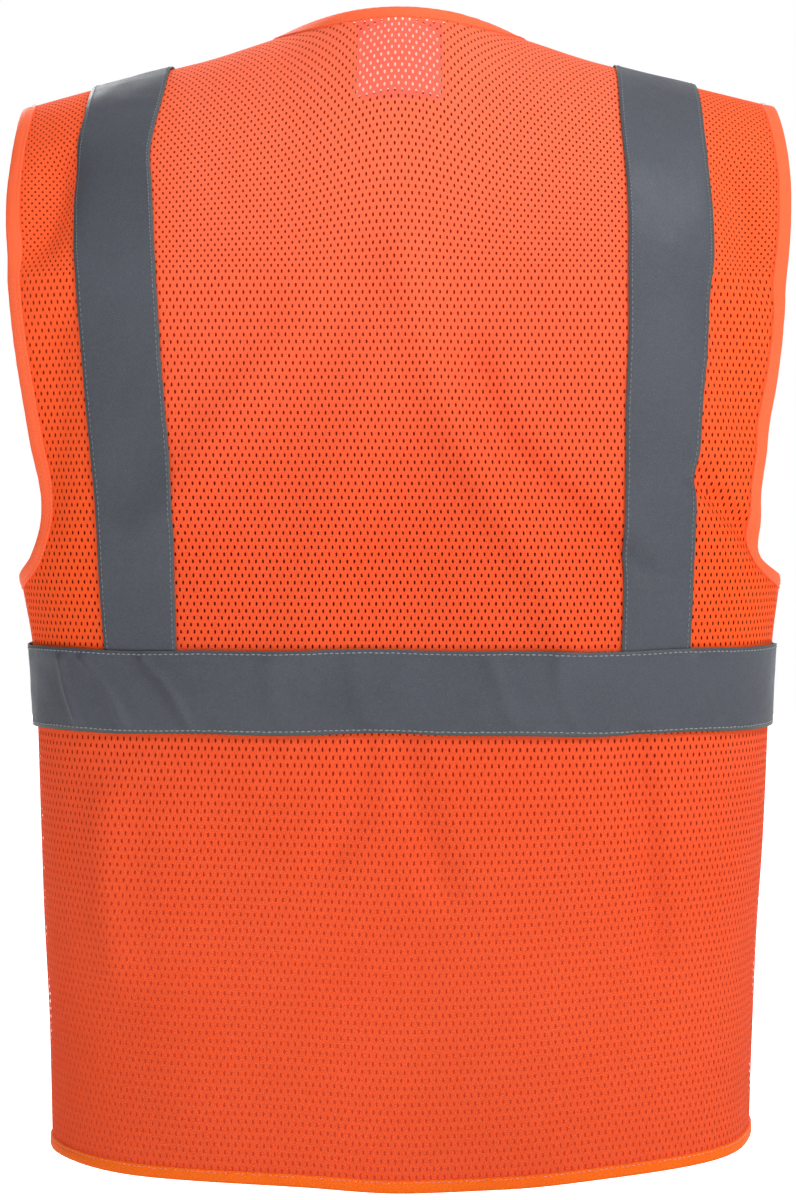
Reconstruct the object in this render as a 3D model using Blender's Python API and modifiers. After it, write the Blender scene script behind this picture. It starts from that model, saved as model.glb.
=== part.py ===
"""A sleeveless high visibility vest, worn shape, zipped up.

Units are metres, +Z is up, the zip faces -Y and the wearer's left is +X.
The origin is where the vest rests on the shoulders, level with the points
where the neck edge meets the shoulder seams.

The cloth lies on one smooth torso. A place on the cloth is a chart point:
p is the distance round the torso from the middle of the back or the front,
h is the height, which goes on as the distance up the cloth over the shoulder.
"""
import math
from functools import lru_cache

import bmesh
import bpy
import numpy as np
from mathutils import Matrix, Vector

BACK = 1.0
FRONT = -1.0
LEFT = 1.0
RIGHT = -1.0

# ---------------------------------------------------------------- driving dimensions
HEM_Z = -0.722
HEM_SIDE_RISE = 0.006
UNDERARM_Z = -0.349
HALF_DEPTH = 0.125
SECTION_POWER = 3.0
SHOULDER_START_Z = -0.160
SHOULDER_POWER = 2.5
SHOULDER_SLOPE = math.radians(13.8)
NECK_HALF_WIDTH = 0.0757
NECK_BACK_Z = 0.0072
NECK_FRONT_Z = -0.180

CLOTH = 0.0008
BINDING_THICKNESS = 0.0020
BINDING_WIDTH = 0.0080
GAP = 0.0004
TAPE_WIDTH = 0.050
TAPE_THICKNESS = 0.0006
BRACE_LIFT = 0.0019
WAIST_LIFT = 0.0036
WAIST_TOP_Z = -0.3920
BRACE_END_Z = WAIST_TOP_Z - 0.010
ZIP_EDGE = 0.0050

# Half width of the torso at a height, and the armhole edge as (x, z) from the
# shoulder down to the underarm.
WIDTH_AT_HEIGHT = (
    (HEM_Z, 0.2245), (-0.575, 0.2290), (-0.443, 0.2379), (-0.390, 0.2418),
    (UNDERARM_Z, 0.2470), (-0.280, 0.2500), (-0.130, 0.2750), (0.030, 0.2750),
)
ARMHOLE = (
    (0.2413, -0.0409), (0.2458, -0.105), (0.2395, -0.190), (0.2290, -0.262),
    (0.2246, -0.303), (0.2310, -0.334), (0.2470, UNDERARM_Z),
)
NECK_BACK = ((NECK_HALF_WIDTH, 0.0), (0.0705, 0.0004), (0.055, 0.0026), (0.029, 0.0060), (0.0, NECK_BACK_Z))
NECK_FRONT = ((NECK_HALF_WIDTH, 0.0), (0.063, -0.040), (0.041, -0.100), (ZIP_EDGE, NECK_FRONT_Z))
BRACE_CENTRE = ((WAIST_TOP_Z, 0.157), (-0.300, 0.160), (-0.180, 0.169), (-0.020, 0.170))

# ---------------------------------------------------------------- materials
ORANGE = (0.90, 0.10, 0.02, 1.0)
BRIGHT_ORANGE = (0.95, 0.16, 0.03, 1.0)
GREY = (0.12, 0.13, 0.15, 1.0)
DARK = (0.03, 0.03, 0.03, 1.0)
WHITE = (0.80, 0.78, 0.74, 1.0)
CLEAR = (0.80, 0.86, 0.90, 0.35)


def material(name, colour, roughness, metallic=0.0):
    """A plain Principled BSDF material."""
    mat = bpy.data.materials.new(name)
    mat.use_nodes = True
    shader = mat.node_tree.nodes["Principled BSDF"]
    shader.inputs["Base Color"].default_value = colour
    shader.inputs["Roughness"].default_value = roughness
    shader.inputs["Metallic"].default_value = metallic
    mat.diffuse_color = colour
    return mat


# ---------------------------------------------------------------- the torso
def curve_through(points):
    """A smooth function of the first coordinate through rising (x, value) points."""
    xs, ys = np.array(points).T
    slopes = np.gradient(ys, xs)

    def value(x):
        x = min(max(x, xs[0]), xs[-1])
        i = min(max(int(np.searchsorted(xs, x)) - 1, 0), len(xs) - 2)
        step = xs[i + 1] - xs[i]
        t = (x - xs[i]) / step
        start = (1 + 2 * t) * (1 - t) ** 2 * ys[i] + t * (1 - t) ** 2 * step * slopes[i]
        end = t * t * (3 - 2 * t) * ys[i + 1] + t * t * (t - 1) * step * slopes[i + 1]
        return float(start + end)

    return value


half_width = curve_through(WIDTH_AT_HEIGHT)
brace_x = curve_through(BRACE_CENTRE)

QUARTER = np.linspace(0.0, math.pi / 2, 241)
NECK_RISE = 0.032
RIDGE_ROUNDING = 0.020


def shoulder_z(x):
    """Height of the shoulder line, which goes on rising inside the neck."""
    ridge = math.hypot(x, RIDGE_ROUNDING) - math.hypot(NECK_HALF_WIDTH, RIDGE_ROUNDING)
    inside = max(0.0, 1 - (x / NECK_HALF_WIDTH) ** 2)
    return -math.tan(SHOULDER_SLOPE) * ridge + NECK_RISE * inside ** 2


def arc_lengths(across, along):
    """Running length of a curve given by its two coordinates."""
    steps = np.hypot(np.diff(across), np.diff(along))
    return np.concatenate(([0.0], np.cumsum(steps)))


# The shoulder arch: how high it has risen, and how deep the torso still is.
ARCH_RISE = np.sin(QUARTER) ** (2 / SHOULDER_POWER)
ARCH_DEPTH = np.cos(QUARTER) ** (2 / SHOULDER_POWER)
ARCH_LENGTH = arc_lengths((shoulder_z(0.0) - SHOULDER_START_Z) * ARCH_RISE, HALF_DEPTH * ARCH_DEPTH)
SHOULDER_H = SHOULDER_START_Z + float(ARCH_LENGTH[-1])


def arch(h):
    """Rise and depth of the shoulder arch at chart height h, from 0 and 1 to 1 and 0."""
    along = h - SHOULDER_START_Z
    if along <= 0:
        return 0.0, 1.0
    return float(np.interp(along, ARCH_LENGTH, ARCH_RISE)), float(np.interp(along, ARCH_LENGTH, ARCH_DEPTH))


@lru_cache(maxsize=None)
def section(h):
    """Arc length, x and y of a quarter of the torso at chart height h."""
    rise, depth = arch(h)
    z = h if rise == 0 else SHOULDER_START_Z + (shoulder_z(0.0) - SHOULDER_START_Z) * rise
    xs = half_width(z) * np.sin(QUARTER) ** (2 / SECTION_POWER)
    ys = HALF_DEPTH * depth * np.cos(QUARTER) ** (2 / SECTION_POWER)
    return arc_lengths(xs, ys), xs, ys


def seam_p(h):
    """Chart distance of the side seam at height h."""
    return float(section(round(h, 6))[0][-1])


def on_torso(face, p, h):
    """The point of the torso at a chart point."""
    arc, xs, ys = section(round(h, 6))
    x = float(np.interp(abs(p), arc, xs))
    y = float(np.interp(abs(p), arc, ys))
    rise = arch(h)[0]
    z = h if rise == 0 else SHOULDER_START_Z + (shoulder_z(x) - SHOULDER_START_Z) * rise
    return Vector((math.copysign(x, p), face * y, z))


def over_torso(face, p, h, lift):
    """The point that stands lift outside the torso at a chart point."""
    step = 0.0015
    top = min(h + step, SHOULDER_H - 1e-5)
    outer = min(abs(p) + step, seam_p(h))
    inner = outer - 2 * step
    side = math.copysign(1.0, p)
    across = on_torso(face, side * outer, h) - on_torso(face, side * inner, h)
    if inner < 0:
        across = on_torso(face, step, h) - on_torso(face, -step, h)
    up = on_torso(face, p, top) - on_torso(face, p, top - 2 * step)
    normal = across.cross(up).normalized()
    place = on_torso(face, p, h)
    outward = Vector((place.x, place.y, 0.3))
    if normal.dot(outward) < 0:
        normal = -normal
    return place + lift * normal


def chart(x, z):
    """Chart point of a torso point given by x and z."""
    h = z
    if z > SHOULDER_START_Z:
        rise = min((z - SHOULDER_START_Z) / (shoulder_z(x) - SHOULDER_START_Z), 1.0)
        h = SHOULDER_START_Z + float(np.interp(rise, ARCH_RISE, ARCH_LENGTH))
    arc, xs, _ = section(round(h, 6))
    return float(np.interp(x, xs, arc)), h


def hem_rise(p, h):
    """How far the cloth at a chart point is drawn up towards the side of the hem."""
    share = min(max((WAIST_TOP_Z - TAPE_WIDTH - h) / (WAIST_TOP_Z - TAPE_WIDTH - HEM_Z), 0.0), 1.0)
    return HEM_SIDE_RISE * share * (p / seam_p(h)) ** 2


# ---------------------------------------------------------------- outlines
def spline(points, count):
    """count points evenly along a smooth curve through the given chart points."""
    pts = np.array(points)
    knots = np.concatenate(([0.0], np.cumsum(np.hypot(*np.diff(pts, axis=0).T))))
    rows = [curve_through(np.column_stack((knots, pts[:, axis]))) for axis in (0, 1)]
    return np.array([[row(s) for row in rows] for s in np.linspace(0, knots[-1], count)])


def band_edge(outline, turn, width, first, last):
    """The outline moved sideways by width; first and last are its end directions."""
    tangent = np.gradient(outline, axis=0)
    tangent /= np.linalg.norm(tangent, axis=1)[:, None]
    sideways = turn * np.column_stack((-tangent[:, 1], tangent[:, 0]))
    sideways[0] = first
    sideways[-1] = last
    return outline + width * sideways


def chart_outline(points, count):
    """An outline given as (x, z), as count chart points."""
    return spline([chart(x, z) for x, z in points], count)


TOP_H = SHOULDER_H - GAP
ARMHOLE_LINE = chart_outline(ARMHOLE, 25)
ARMHOLE_LINE[0, 1] = TOP_H
NECK_BACK_LINE = chart_outline(NECK_BACK, 11)
NECK_BACK_LINE[0, 1] = TOP_H
NECK_FRONT_LINE = chart_outline(NECK_FRONT, 17)
NECK_FRONT_LINE[0, 1] = TOP_H
DOWN = (0.0, -1.0)
INWARD = (-1.0, 0.0)
OUTWARD = (1.0, 0.0)


def armhole_edge(width):
    """Armhole edge, width in from the outline, from the shoulder to the underarm."""
    edge = band_edge(ARMHOLE_LINE, -1, width, INWARD, DOWN)
    edge[-1, 0] = seam_p(edge[-1, 1]) - GAP
    return edge


def neck_back_edge(width):
    """Back neck edge, width in from the outline, from the shoulder to the middle."""
    return band_edge(NECK_BACK_LINE, 1, width, OUTWARD, DOWN)


def neck_front_edge(width):
    """Front neck edge, width in from the outline, from the shoulder to the zip."""
    return band_edge(NECK_FRONT_LINE, 1, width, OUTWARD, OUTWARD)


INSET = BINDING_WIDTH + GAP
PANEL_ARMHOLE = armhole_edge(INSET)
PANEL_NECK_BACK = neck_back_edge(INSET)
PANEL_NECK_FRONT = neck_front_edge(INSET)
SEAM_TOP_H = float(PANEL_ARMHOLE[-1, 1])


def edge_at(edge, h):
    """Where a falling edge crosses height h."""
    return float(np.interp(h, edge[::-1, 1], edge[::-1, 0]))


def panel_side(h):
    """Outer edge of a panel: the side seam, then the armhole."""
    if h <= SEAM_TOP_H:
        return seam_p(h) - GAP
    return edge_at(PANEL_ARMHOLE, h)


def panel_middle(h):
    """Inner edge of a front panel: along the zip, then the neck."""
    if h <= PANEL_NECK_FRONT[-1, 1]:
        return ZIP_EDGE + INSET
    return edge_at(PANEL_NECK_FRONT, h)


def panel_top(p):
    """Top edge of the back panel: the neck, then the shoulder seam."""
    if abs(p) >= PANEL_NECK_BACK[0, 0]:
        return TOP_H
    return float(np.interp(abs(p), PANEL_NECK_BACK[::-1, 0], PANEL_NECK_BACK[::-1, 1]))


# ---------------------------------------------------------------- making pieces
def new_object(name, mesh, mat, collection):
    """An object in the collection with one material."""
    obj = bpy.data.objects.new(name, mesh)
    mesh.materials.append(mat)
    collection.objects.link(obj)
    return obj


def sheet(name, columns, rows, place, thickness, mat, collection):
    """A sheet of cloth: a grid whose points place(i, j) puts, thickened both ways."""
    bm = bmesh.new()
    bmesh.ops.create_grid(bm, x_segments=columns, y_segments=rows, size=1.0)
    for vert in bm.verts:
        i = round((vert.co.x + 1) / 2 * columns)
        j = round((vert.co.y + 1) / 2 * rows)
        vert.co = place(i, j)
    mesh = bpy.data.meshes.new(name)
    bm.to_mesh(mesh)
    bm.free()
    obj = new_object(name, mesh, mat, collection)
    solidify = obj.modifiers.new("thickness", "SOLIDIFY")
    solidify.thickness = thickness
    solidify.offset = 0.0
    return obj


def strip(name, edges, face, side, lift, thickness, mat, collection):
    """A strip between two or more edges, each a list of chart points."""

    def place(i, j):
        p, h = edges[i][j]
        return over_torso(face, side * p, h, lift)

    return sheet(name, len(edges) - 1, len(edges[0]) - 1, place, thickness, mat, collection)


def block(name, low, high, mat, collection, bevel=0.0):
    """A box between two corners, with its edges rounded."""
    bm = bmesh.new()
    bmesh.ops.create_cube(bm, size=1.0)
    size = Vector(high) - Vector(low)
    bmesh.ops.scale(bm, vec=size, verts=bm.verts)
    mesh = bpy.data.meshes.new(name)
    bm.to_mesh(mesh)
    bm.free()
    obj = new_object(name, mesh, mat, collection)
    obj.location = (Vector(low) + Vector(high)) / 2
    if bevel:
        rounding = obj.modifiers.new("rounding", "BEVEL")
        rounding.width = bevel
        rounding.segments = 1
    return obj


def combine(obj, other, operation):
    """Join or cut obj with another object by an exact Boolean."""
    modifier = obj.modifiers.new(other.name, "BOOLEAN")
    modifier.object = other
    modifier.operation = operation
    modifier.solver = "EXACT"


def helper(obj):
    """Mark an object as a cutter or guide that isn't a part."""
    obj.hide_render = True
    obj.display_type = "WIRE"


# ---------------------------------------------------------------- panels
LOW_ROWS = (-0.660, -0.600, -0.540, -0.490, WAIST_TOP_Z - TAPE_WIDTH, WAIST_TOP_Z)
ARMHOLE_ROWS = (
    SEAM_TOP_H, -0.3550, -0.3515, -0.3470, -0.3405, -0.330,
    -0.314, -0.293, -0.262, -0.225, -0.200, NECK_FRONT_Z,
)
SHOULDER_ROWS = 9
FAN_START_H = -0.040
BACK_COLUMNS = 28
NECK_COLUMNS = 4


def panel_rows():
    """Chart heights of a front panel's rows, hem to shoulder."""
    hem = HEM_Z + INSET
    shoulder = np.linspace(SHOULDER_START_Z, TOP_H, SHOULDER_ROWS + 1)
    return [hem, *LOW_ROWS, *ARMHOLE_ROWS, *shoulder]


def points_at(edge, stations):
    """Points of an edge at fractional point numbers."""
    numbers = np.arange(len(edge))
    return np.column_stack([np.interp(stations, numbers, edge[:, axis]) for axis in (0, 1)])


def band(edge_function, axis, values):
    """Both edges of a band, with points where the panel beside it has its own."""
    panel_edge = edge_function(INSET)
    numbers = np.arange(len(panel_edge))
    stations = np.interp(sorted(values), panel_edge[::-1, axis], numbers[::-1])[::-1]
    return [points_at(edge_function(w), stations) for w in (0.0, BINDING_WIDTH)]


def armhole_band():
    """The armhole binding's edges, from the shoulder to the underarm."""
    return band(armhole_edge, 1, [h for h in panel_rows() if h >= SEAM_TOP_H])


def neck_front_band():
    """The front neck binding's edges, from the shoulder to the zip."""
    return band(neck_front_edge, 1, [h for h in panel_rows() if h >= NECK_FRONT_Z])


def neck_back_band():
    """The back neck binding's edges, from shoulder to shoulder."""
    half = band(neck_back_edge, 0, np.linspace(0, PANEL_NECK_BACK[0, 0], NECK_COLUMNS + 1))
    return [mirrored(edge) for edge in half]


def back_panel(mat, collection):
    """The back: one piece from side seam to side seam."""
    rows = panel_rows()
    fan_start = max(h for h in rows if h < FAN_START_H)
    corner = PANEL_NECK_BACK[0, 0] / panel_side(TOP_H)
    inner = np.linspace(0, corner, NECK_COLUMNS + 1)
    outer = np.linspace(corner, 1, BACK_COLUMNS // 2 - NECK_COLUMNS + 1)[1:]
    across = np.concatenate((-outer[::-1], -inner[:0:-1], inner, outer))

    def place(i, j):
        h = rows[j]
        p = across[i] * panel_side(h)
        share = max(0.0, (h - fan_start) / (TOP_H - fan_start))
        return over_torso(BACK, p, h + hem_rise(p, h) - share * (TOP_H - panel_top(p)), 0)

    return sheet("back_panel", BACK_COLUMNS, len(rows) - 1, place, CLOTH, mat, collection)


def front_panel(name, side, mat, collection):
    """A front, from the zip facing to the side seam."""
    rows = panel_rows()
    columns = BACK_COLUMNS // 2 - 1

    def place(i, j):
        h = rows[j]
        p = panel_middle(h) + (panel_side(h) - panel_middle(h)) * i / columns
        return over_torso(FRONT, side * p, h + hem_rise(p, h), 0)

    return sheet(name, columns, len(rows) - 1, place, CLOTH, mat, collection)


# ---------------------------------------------------------------- tapes and bindings
def waist_tape(name, face, start, end, columns, mat, collection):
    """A length of the waist tape between two chart distances."""

    def place(i, j):
        h = WAIST_TOP_Z - TAPE_WIDTH + j * TAPE_WIDTH
        low = start if start > 0 else -seam_p(h) + GAP
        high = min(end, seam_p(h) - GAP)
        return over_torso(face, low + (high - low) * i / columns, h, WAIST_LIFT)

    return sheet(name, columns, 1, place, TAPE_THICKNESS, mat, collection)


def brace_tape(name, face, side, mat, collection):
    """The tape from the waist to the shoulder seam, on the back or the front."""
    over_shoulder = np.linspace(SHOULDER_START_Z, TOP_H, SHOULDER_ROWS + 1)
    heights = [BRACE_END_Z, -0.350, -0.300, -0.250, -0.205, *over_shoulder]

    def place(i, j):
        h = heights[j]
        rise = arch(h)[0]
        z = h if rise == 0 else SHOULDER_START_Z * (1 - rise)
        centre = chart(brace_x(z), min(z, SHOULDER_START_Z))[0]
        if rise:
            arc, xs, _ = section(round(h, 6))
            centre = float(np.interp(brace_x(z), xs, arc))
        return over_torso(face, side * (centre + (i / 2 - 0.5) * TAPE_WIDTH), h, BRACE_LIFT)

    return sheet(name, 2, len(heights) - 1, place, TAPE_THICKNESS, mat, collection)


def hem_binding(name, face, start, end, columns, mat, collection):
    """The band along the hem between two chart distances."""

    def place(i, j):
        h = HEM_Z + j * BINDING_WIDTH
        low = start if start > 0 else -seam_p(h) + GAP
        high = min(end, seam_p(h) - GAP)
        p = low + (high - low) * i / columns
        return over_torso(face, p, h + hem_rise(p, h), 0)

    return sheet(name, columns, 1, place, BINDING_THICKNESS, mat, collection)


def mirrored(edge):
    """An edge from the shoulder to the middle, carried on to the other shoulder."""
    other = edge[-2::-1].copy()
    other[:, 0] *= -1
    return np.concatenate((edge, other))


def zip_facing(name, side, mat, collection):
    """The folded strip that covers the zip tape beside the chain."""
    heights = np.linspace(HEM_Z + GAP, NECK_FRONT_Z - GAP, 6)
    edges = [[(ZIP_EDGE + w, h) for h in heights] for w in (0.0, BINDING_WIDTH)]
    return strip(name, edges, FRONT, side, 0, BINDING_THICKNESS, mat, collection)


# ---------------------------------------------------------------- pockets
POCKET_CLOTH = 0.0010
LAYER = 0.0004
TOUCH_TAPE = 0.0008
FLAP_RAMP = 0.016
FLAP_ROOT_LIFT = 0.0030


class Pocket:
    """A patch pocket: chart box, depth, flap and its touch tapes."""

    def __init__(self, left, right, low, high, depth):
        self.left = left
        self.right = right
        self.low = low
        self.high = high
        self.depth = depth
        self.outer = depth + POCKET_CLOTH
        self.loop_lift = self.outer + LAYER + TOUCH_TAPE / 2
        self.hook_lift = self.loop_lift + TOUCH_TAPE + LAYER
        self.flap_lift = self.hook_lift + TOUCH_TAPE / 2 + LAYER + POCKET_CLOTH / 2


LOWER_POCKET = Pocket(0.032, 0.188, -0.706, -0.478, 0.0140)
PHONE_POCKET = Pocket(0.028, 0.116, -0.375, -0.240, 0.0120)
FLAP_OVERHANG = 0.004
LOWER_FLAP_TOP = -0.457
LOWER_FLAP_LOW = -0.530
PHONE_FLAP_TOP = -0.222
PHONE_FLAP_LOW = -0.285


def pocket_bag(name, pocket, side, columns, rows, mat, collection):
    """The pocket's outer cloth, a tray open at the top, its rim on the panel."""
    rim = 0.010

    def stations(low, high, count):
        return [low, low + rim, *np.linspace(low + rim, high - rim, count - 1)[1:-1], high - rim, high]

    across = stations(pocket.left, pocket.right, columns)
    up = [pocket.low, pocket.low + rim, *np.linspace(pocket.low + rim, pocket.high, rows)[1:]]

    def place(i, j):
        on_rim = i in (0, columns) or j == 0
        lift = (CLOTH + POCKET_CLOTH) / 2 + GAP if on_rim else pocket.depth + POCKET_CLOTH / 2
        return over_torso(FRONT, side * across[i], up[j], lift)

    return sheet(name, columns, rows, place, POCKET_CLOTH, mat, collection)


def flap(name, pocket, top, low, side, columns, mat, collection):
    """The flap: sewn on above the mouth, it steps out over the pocket and hangs."""
    levels = (low, (low + top - FLAP_RAMP) / 2, top - FLAP_RAMP, top)

    def place(i, j):
        p = pocket.left - FLAP_OVERHANG + (pocket.right - pocket.left + 2 * FLAP_OVERHANG) * i / columns
        lift = FLAP_ROOT_LIFT if j == 3 else pocket.flap_lift
        return over_torso(FRONT, side * p, levels[j], lift)

    return sheet(name, columns, 3, place, POCKET_CLOTH, mat, collection)


def patch(name, middle, half, low, high, side, lift, mat, collection):
    """A small flat patch of touch tape or label."""

    def place(i, j):
        return over_torso(FRONT, side * (middle + (i - 1) * half), low + (high - low) * j, lift)

    return sheet(name, 2, 1, place, TOUCH_TAPE, mat, collection)


def flap_hinge(pocket, top, side):
    """Point and direction of the straight line that a curved flap lifts about."""
    ends = [over_torso(FRONT, side * p, top, FLAP_ROOT_LIFT) for p in (pocket.left, pocket.right)]
    along = (ends[1] - ends[0]) * side
    along.z = 0
    along.normalize()
    outward = Vector((along.y, -along.x, 0))
    samples = np.linspace(pocket.left - FLAP_OVERHANG, pocket.right + FLAP_OVERHANG, 9)
    reach = max(over_torso(FRONT, side * p, top, FLAP_ROOT_LIFT + POCKET_CLOTH).dot(outward) for p in samples)
    point = ends[0] + (reach - ends[0].dot(outward)) * outward
    return point, along


ID_LEFT = 0.032
ID_RIGHT = 0.112
ID_LOW = -0.350
ID_HIGH = -0.235
ID_DEPTH = 0.0090
ID_BORDER = 0.008


def id_pocket(mat, window_mat, collection):
    """The card holder: a sewn tray of cloth with a clear window let into it."""
    columns = 6
    across = [ID_LEFT, ID_LEFT + ID_BORDER, *np.linspace(ID_LEFT + ID_BORDER, ID_RIGHT - ID_BORDER, 5)[1:-1],
              ID_RIGHT - ID_BORDER, ID_RIGHT]
    rim_lift = (CLOTH + POCKET_CLOTH) / 2 + GAP
    lift = ID_DEPTH + POCKET_CLOTH / 2

    def place(i, j):
        p, h = across[i], (ID_LOW, ID_LOW + ID_BORDER, ID_HIGH)[j]
        on_rim = i in (0, columns) or j == 0
        return over_torso(FRONT, RIGHT * p, h, rim_lift if on_rim else lift)

    def window_place(i, j):
        h = ID_LOW + ID_BORDER + (ID_HIGH - ID_LOW - ID_BORDER) * j
        return over_torso(FRONT, RIGHT * across[i + 1], h, lift + POCKET_CLOTH + GAP)

    sheet("id_pocket", columns, 2, place, POCKET_CLOTH, mat, collection)
    sheet("id_window", columns - 2, 1, window_place, TAPE_THICKNESS, window_mat, collection)


# ---------------------------------------------------------------- zip
CHAIN_INNER = 0.0008
CHAIN_OUTER = 0.0034
CHAIN_BACK = -0.0014
CHAIN_FRONT = 0.0008
ZIP_TAPE_INNER = 0.0014
ZIP_TAPE_OUTER = 0.0150
ZIP_TAPE_BACK = -0.0026
ZIP_TAPE_FRONT = -0.0018
STOP_LENGTH = 0.004
MOULDED_EDGE = 0.0004
BOX_EXTRA_WIDTH = 0.0010
BOX_EXTRA_DEPTH = 0.0006
PIN_LENGTH = 0.018
SLIDER_HALF_LENGTH = 0.0055
SLIDER_HALF_WIDTH = 0.0046
SLIDER_Z = NECK_FRONT_Z - 0.004
WEB_HALF_WIDTH = 0.0005
PLATE = 0.0011
BAIL_RADIUS = 0.0030
BAIL_WIRE = 0.0006
BAR_RADIUS = 0.0006
BAR_LIFT = 0.0011


def zip_block(name, side, x_range, lift_range, z_range, mat, collection, bevel=0.0):
    """A straight block of the zip, given by its distances from the middle and the cloth."""
    xs = sorted(side * x for x in x_range)
    ys = sorted(-HALF_DEPTH - lift for lift in lift_range)
    return block(name, (xs[0], ys[0], z_range[0]), (xs[1], ys[1], z_range[1]), mat, collection, bevel)


def zip_half(suffix, side, tape_mat, chain_mat, collection):
    """One half of the zip: woven tape, chain of teeth and top stop."""
    low = HEM_Z + 0.004
    top = NECK_FRONT_Z - 0.002
    chain = (CHAIN_INNER, CHAIN_OUTER)
    lifts = (CHAIN_BACK, CHAIN_FRONT)
    zip_block("zip_tape_" + suffix, side, (ZIP_TAPE_INNER, ZIP_TAPE_OUTER), (ZIP_TAPE_BACK, ZIP_TAPE_FRONT),
              (low, top), tape_mat, collection)
    zip_block("zip_chain_" + suffix, side, chain, lifts, (low + PIN_LENGTH + GAP, top - STOP_LENGTH - GAP),
              chain_mat, collection)
    zip_block("zip_top_stop_" + suffix, side, chain, lifts, (top - STOP_LENGTH, top),
              chain_mat, collection, MOULDED_EDGE)


def zip_slider(mat, collection, helpers):
    """The slider: a front and a back plate on a thin web, with the pull's bail."""
    low, high = SLIDER_Z - SLIDER_HALF_LENGTH, SLIDER_Z + SLIDER_HALF_LENGTH
    front = (CHAIN_FRONT + 0.0005, CHAIN_FRONT + 0.0005 + PLATE)
    back = (ZIP_TAPE_BACK - 0.0004 - PLATE, ZIP_TAPE_BACK - 0.0004)
    plates = (-SLIDER_HALF_WIDTH, SLIDER_HALF_WIDTH)
    slider = zip_block("zip_slider", 1, plates, front, (low, high), mat, collection, 0.0003)
    rear = zip_block("slider_rear_plate", 1, plates, back, (low, high), mat, helpers)
    web = zip_block("slider_web", 1, (-WEB_HALF_WIDTH, WEB_HALF_WIDTH),
                    (back[1] - PLATE / 2, front[0] + PLATE / 2), (high - 0.0045, high - 0.0005), mat, helpers)
    bpy.ops.mesh.primitive_torus_add(major_segments=24, minor_segments=8, major_radius=BAIL_RADIUS,
                                     minor_radius=BAIL_WIRE, rotation=(0, math.pi / 2, 0),
                                     location=(0, -HALF_DEPTH - front[1], SLIDER_Z))
    bail = bpy.context.object
    bail.name = "slider_bail"
    bpy.context.collection.objects.unlink(bail)
    helpers.objects.link(bail)
    half_space = zip_block("slider_bail_cut", 1, (-0.01, 0.01), (front[1] - 0.01, front[1] - PLATE / 2),
                           (SLIDER_Z - 0.01, SLIDER_Z + 0.01), mat, helpers)
    combine(bail, half_space, "DIFFERENCE")
    for piece in (rear, web, bail):
        combine(slider, piece, "UNION")
    for piece in (rear, web, bail, half_space):
        helper(piece)
    return -HALF_DEPTH - front[1] - BAR_LIFT


def zip_pull(axis_y, mat, collection, helpers):
    """The pull: a bar through the bail, two arms and a tab that hangs below."""
    arm_inner, arm_outer = 0.0014, 0.0030
    eye, length = 0.0046, 0.030
    half_thick = 0.0007
    tab = block("zip_pull", (-arm_outer, axis_y - half_thick, SLIDER_Z - length),
                (arm_outer, axis_y + half_thick, SLIDER_Z + BAR_RADIUS), mat, collection)
    slot = block("pull_slot", (-arm_inner, axis_y - 0.003, SLIDER_Z - eye),
                 (arm_inner, axis_y + 0.003, SLIDER_Z - BAR_RADIUS), mat, helpers)
    tip_hole = block("pull_tip_hole", (-arm_inner, axis_y - 0.003, SLIDER_Z - length + 0.003),
                     (arm_inner, axis_y + 0.003, SLIDER_Z - length + 0.008), mat, helpers)
    combine(tab, slot, "DIFFERENCE")
    combine(tab, tip_hole, "DIFFERENCE")
    for piece in (slot, tip_hole):
        helper(piece)


# ---------------------------------------------------------------- the vest
LABEL_HALF_WIDTH = 0.026
LABEL_HEIGHT = 0.050
LABEL_LIFT = -0.0026


def side_pieces(suffix, side, mats, collection):
    """Everything that the left and right halves of the vest both have."""
    mesh_cloth, binding, tape = mats["mesh"], mats["binding"], mats["tape"]
    end = 1.0
    front_panel("front_panel_" + suffix, side, mesh_cloth, collection)
    for face, word in ((BACK, "back"), (FRONT, "front")):
        brace_tape(f"brace_tape_{word}_{suffix}", face, side, tape, collection)
        strip(f"armhole_binding_{word}_{suffix}", armhole_band(), face, side, 0, BINDING_THICKNESS,
              binding, collection)
    strip("neck_binding_" + suffix, neck_front_band(), FRONT, side, 0, BINDING_THICKNESS, binding, collection)
    zip_facing("zip_facing_" + suffix, side, binding, collection)
    zip_half(suffix, side, mats["zip_tape"], mats["chain"], collection)
    for piece in (
        waist_tape("waist_tape_" + suffix, FRONT, ZIP_EDGE + INSET + 0.001, end, 13, tape, collection),
        hem_binding("hem_binding_" + suffix, FRONT, ZIP_EDGE + INSET, end, 13, binding, collection),
    ):
        if side < 0:
            flip(piece)
    pocket_bag("lower_pocket_" + suffix, LOWER_POCKET, side, 10, 5, mats["cloth"], collection)
    flap("lower_flap_" + suffix, LOWER_POCKET, LOWER_FLAP_TOP, LOWER_FLAP_LOW, side, 8,
         mats["cloth"], collection)
    middle = (LOWER_POCKET.left + LOWER_POCKET.right) / 2
    for word, lift in (("loop", LOWER_POCKET.loop_lift), ("hook", LOWER_POCKET.hook_lift)):
        patch(f"lower_{word}_tape_{suffix}", middle, 0.020, -0.524, -0.504, side, lift,
              mats["touch"], collection)


def flip(obj):
    """Mirror a piece's mesh from the wearer's left to the right."""
    obj.data.transform(Matrix.Diagonal((-1, 1, 1, 1)))
    obj.data.flip_normals()


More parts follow.
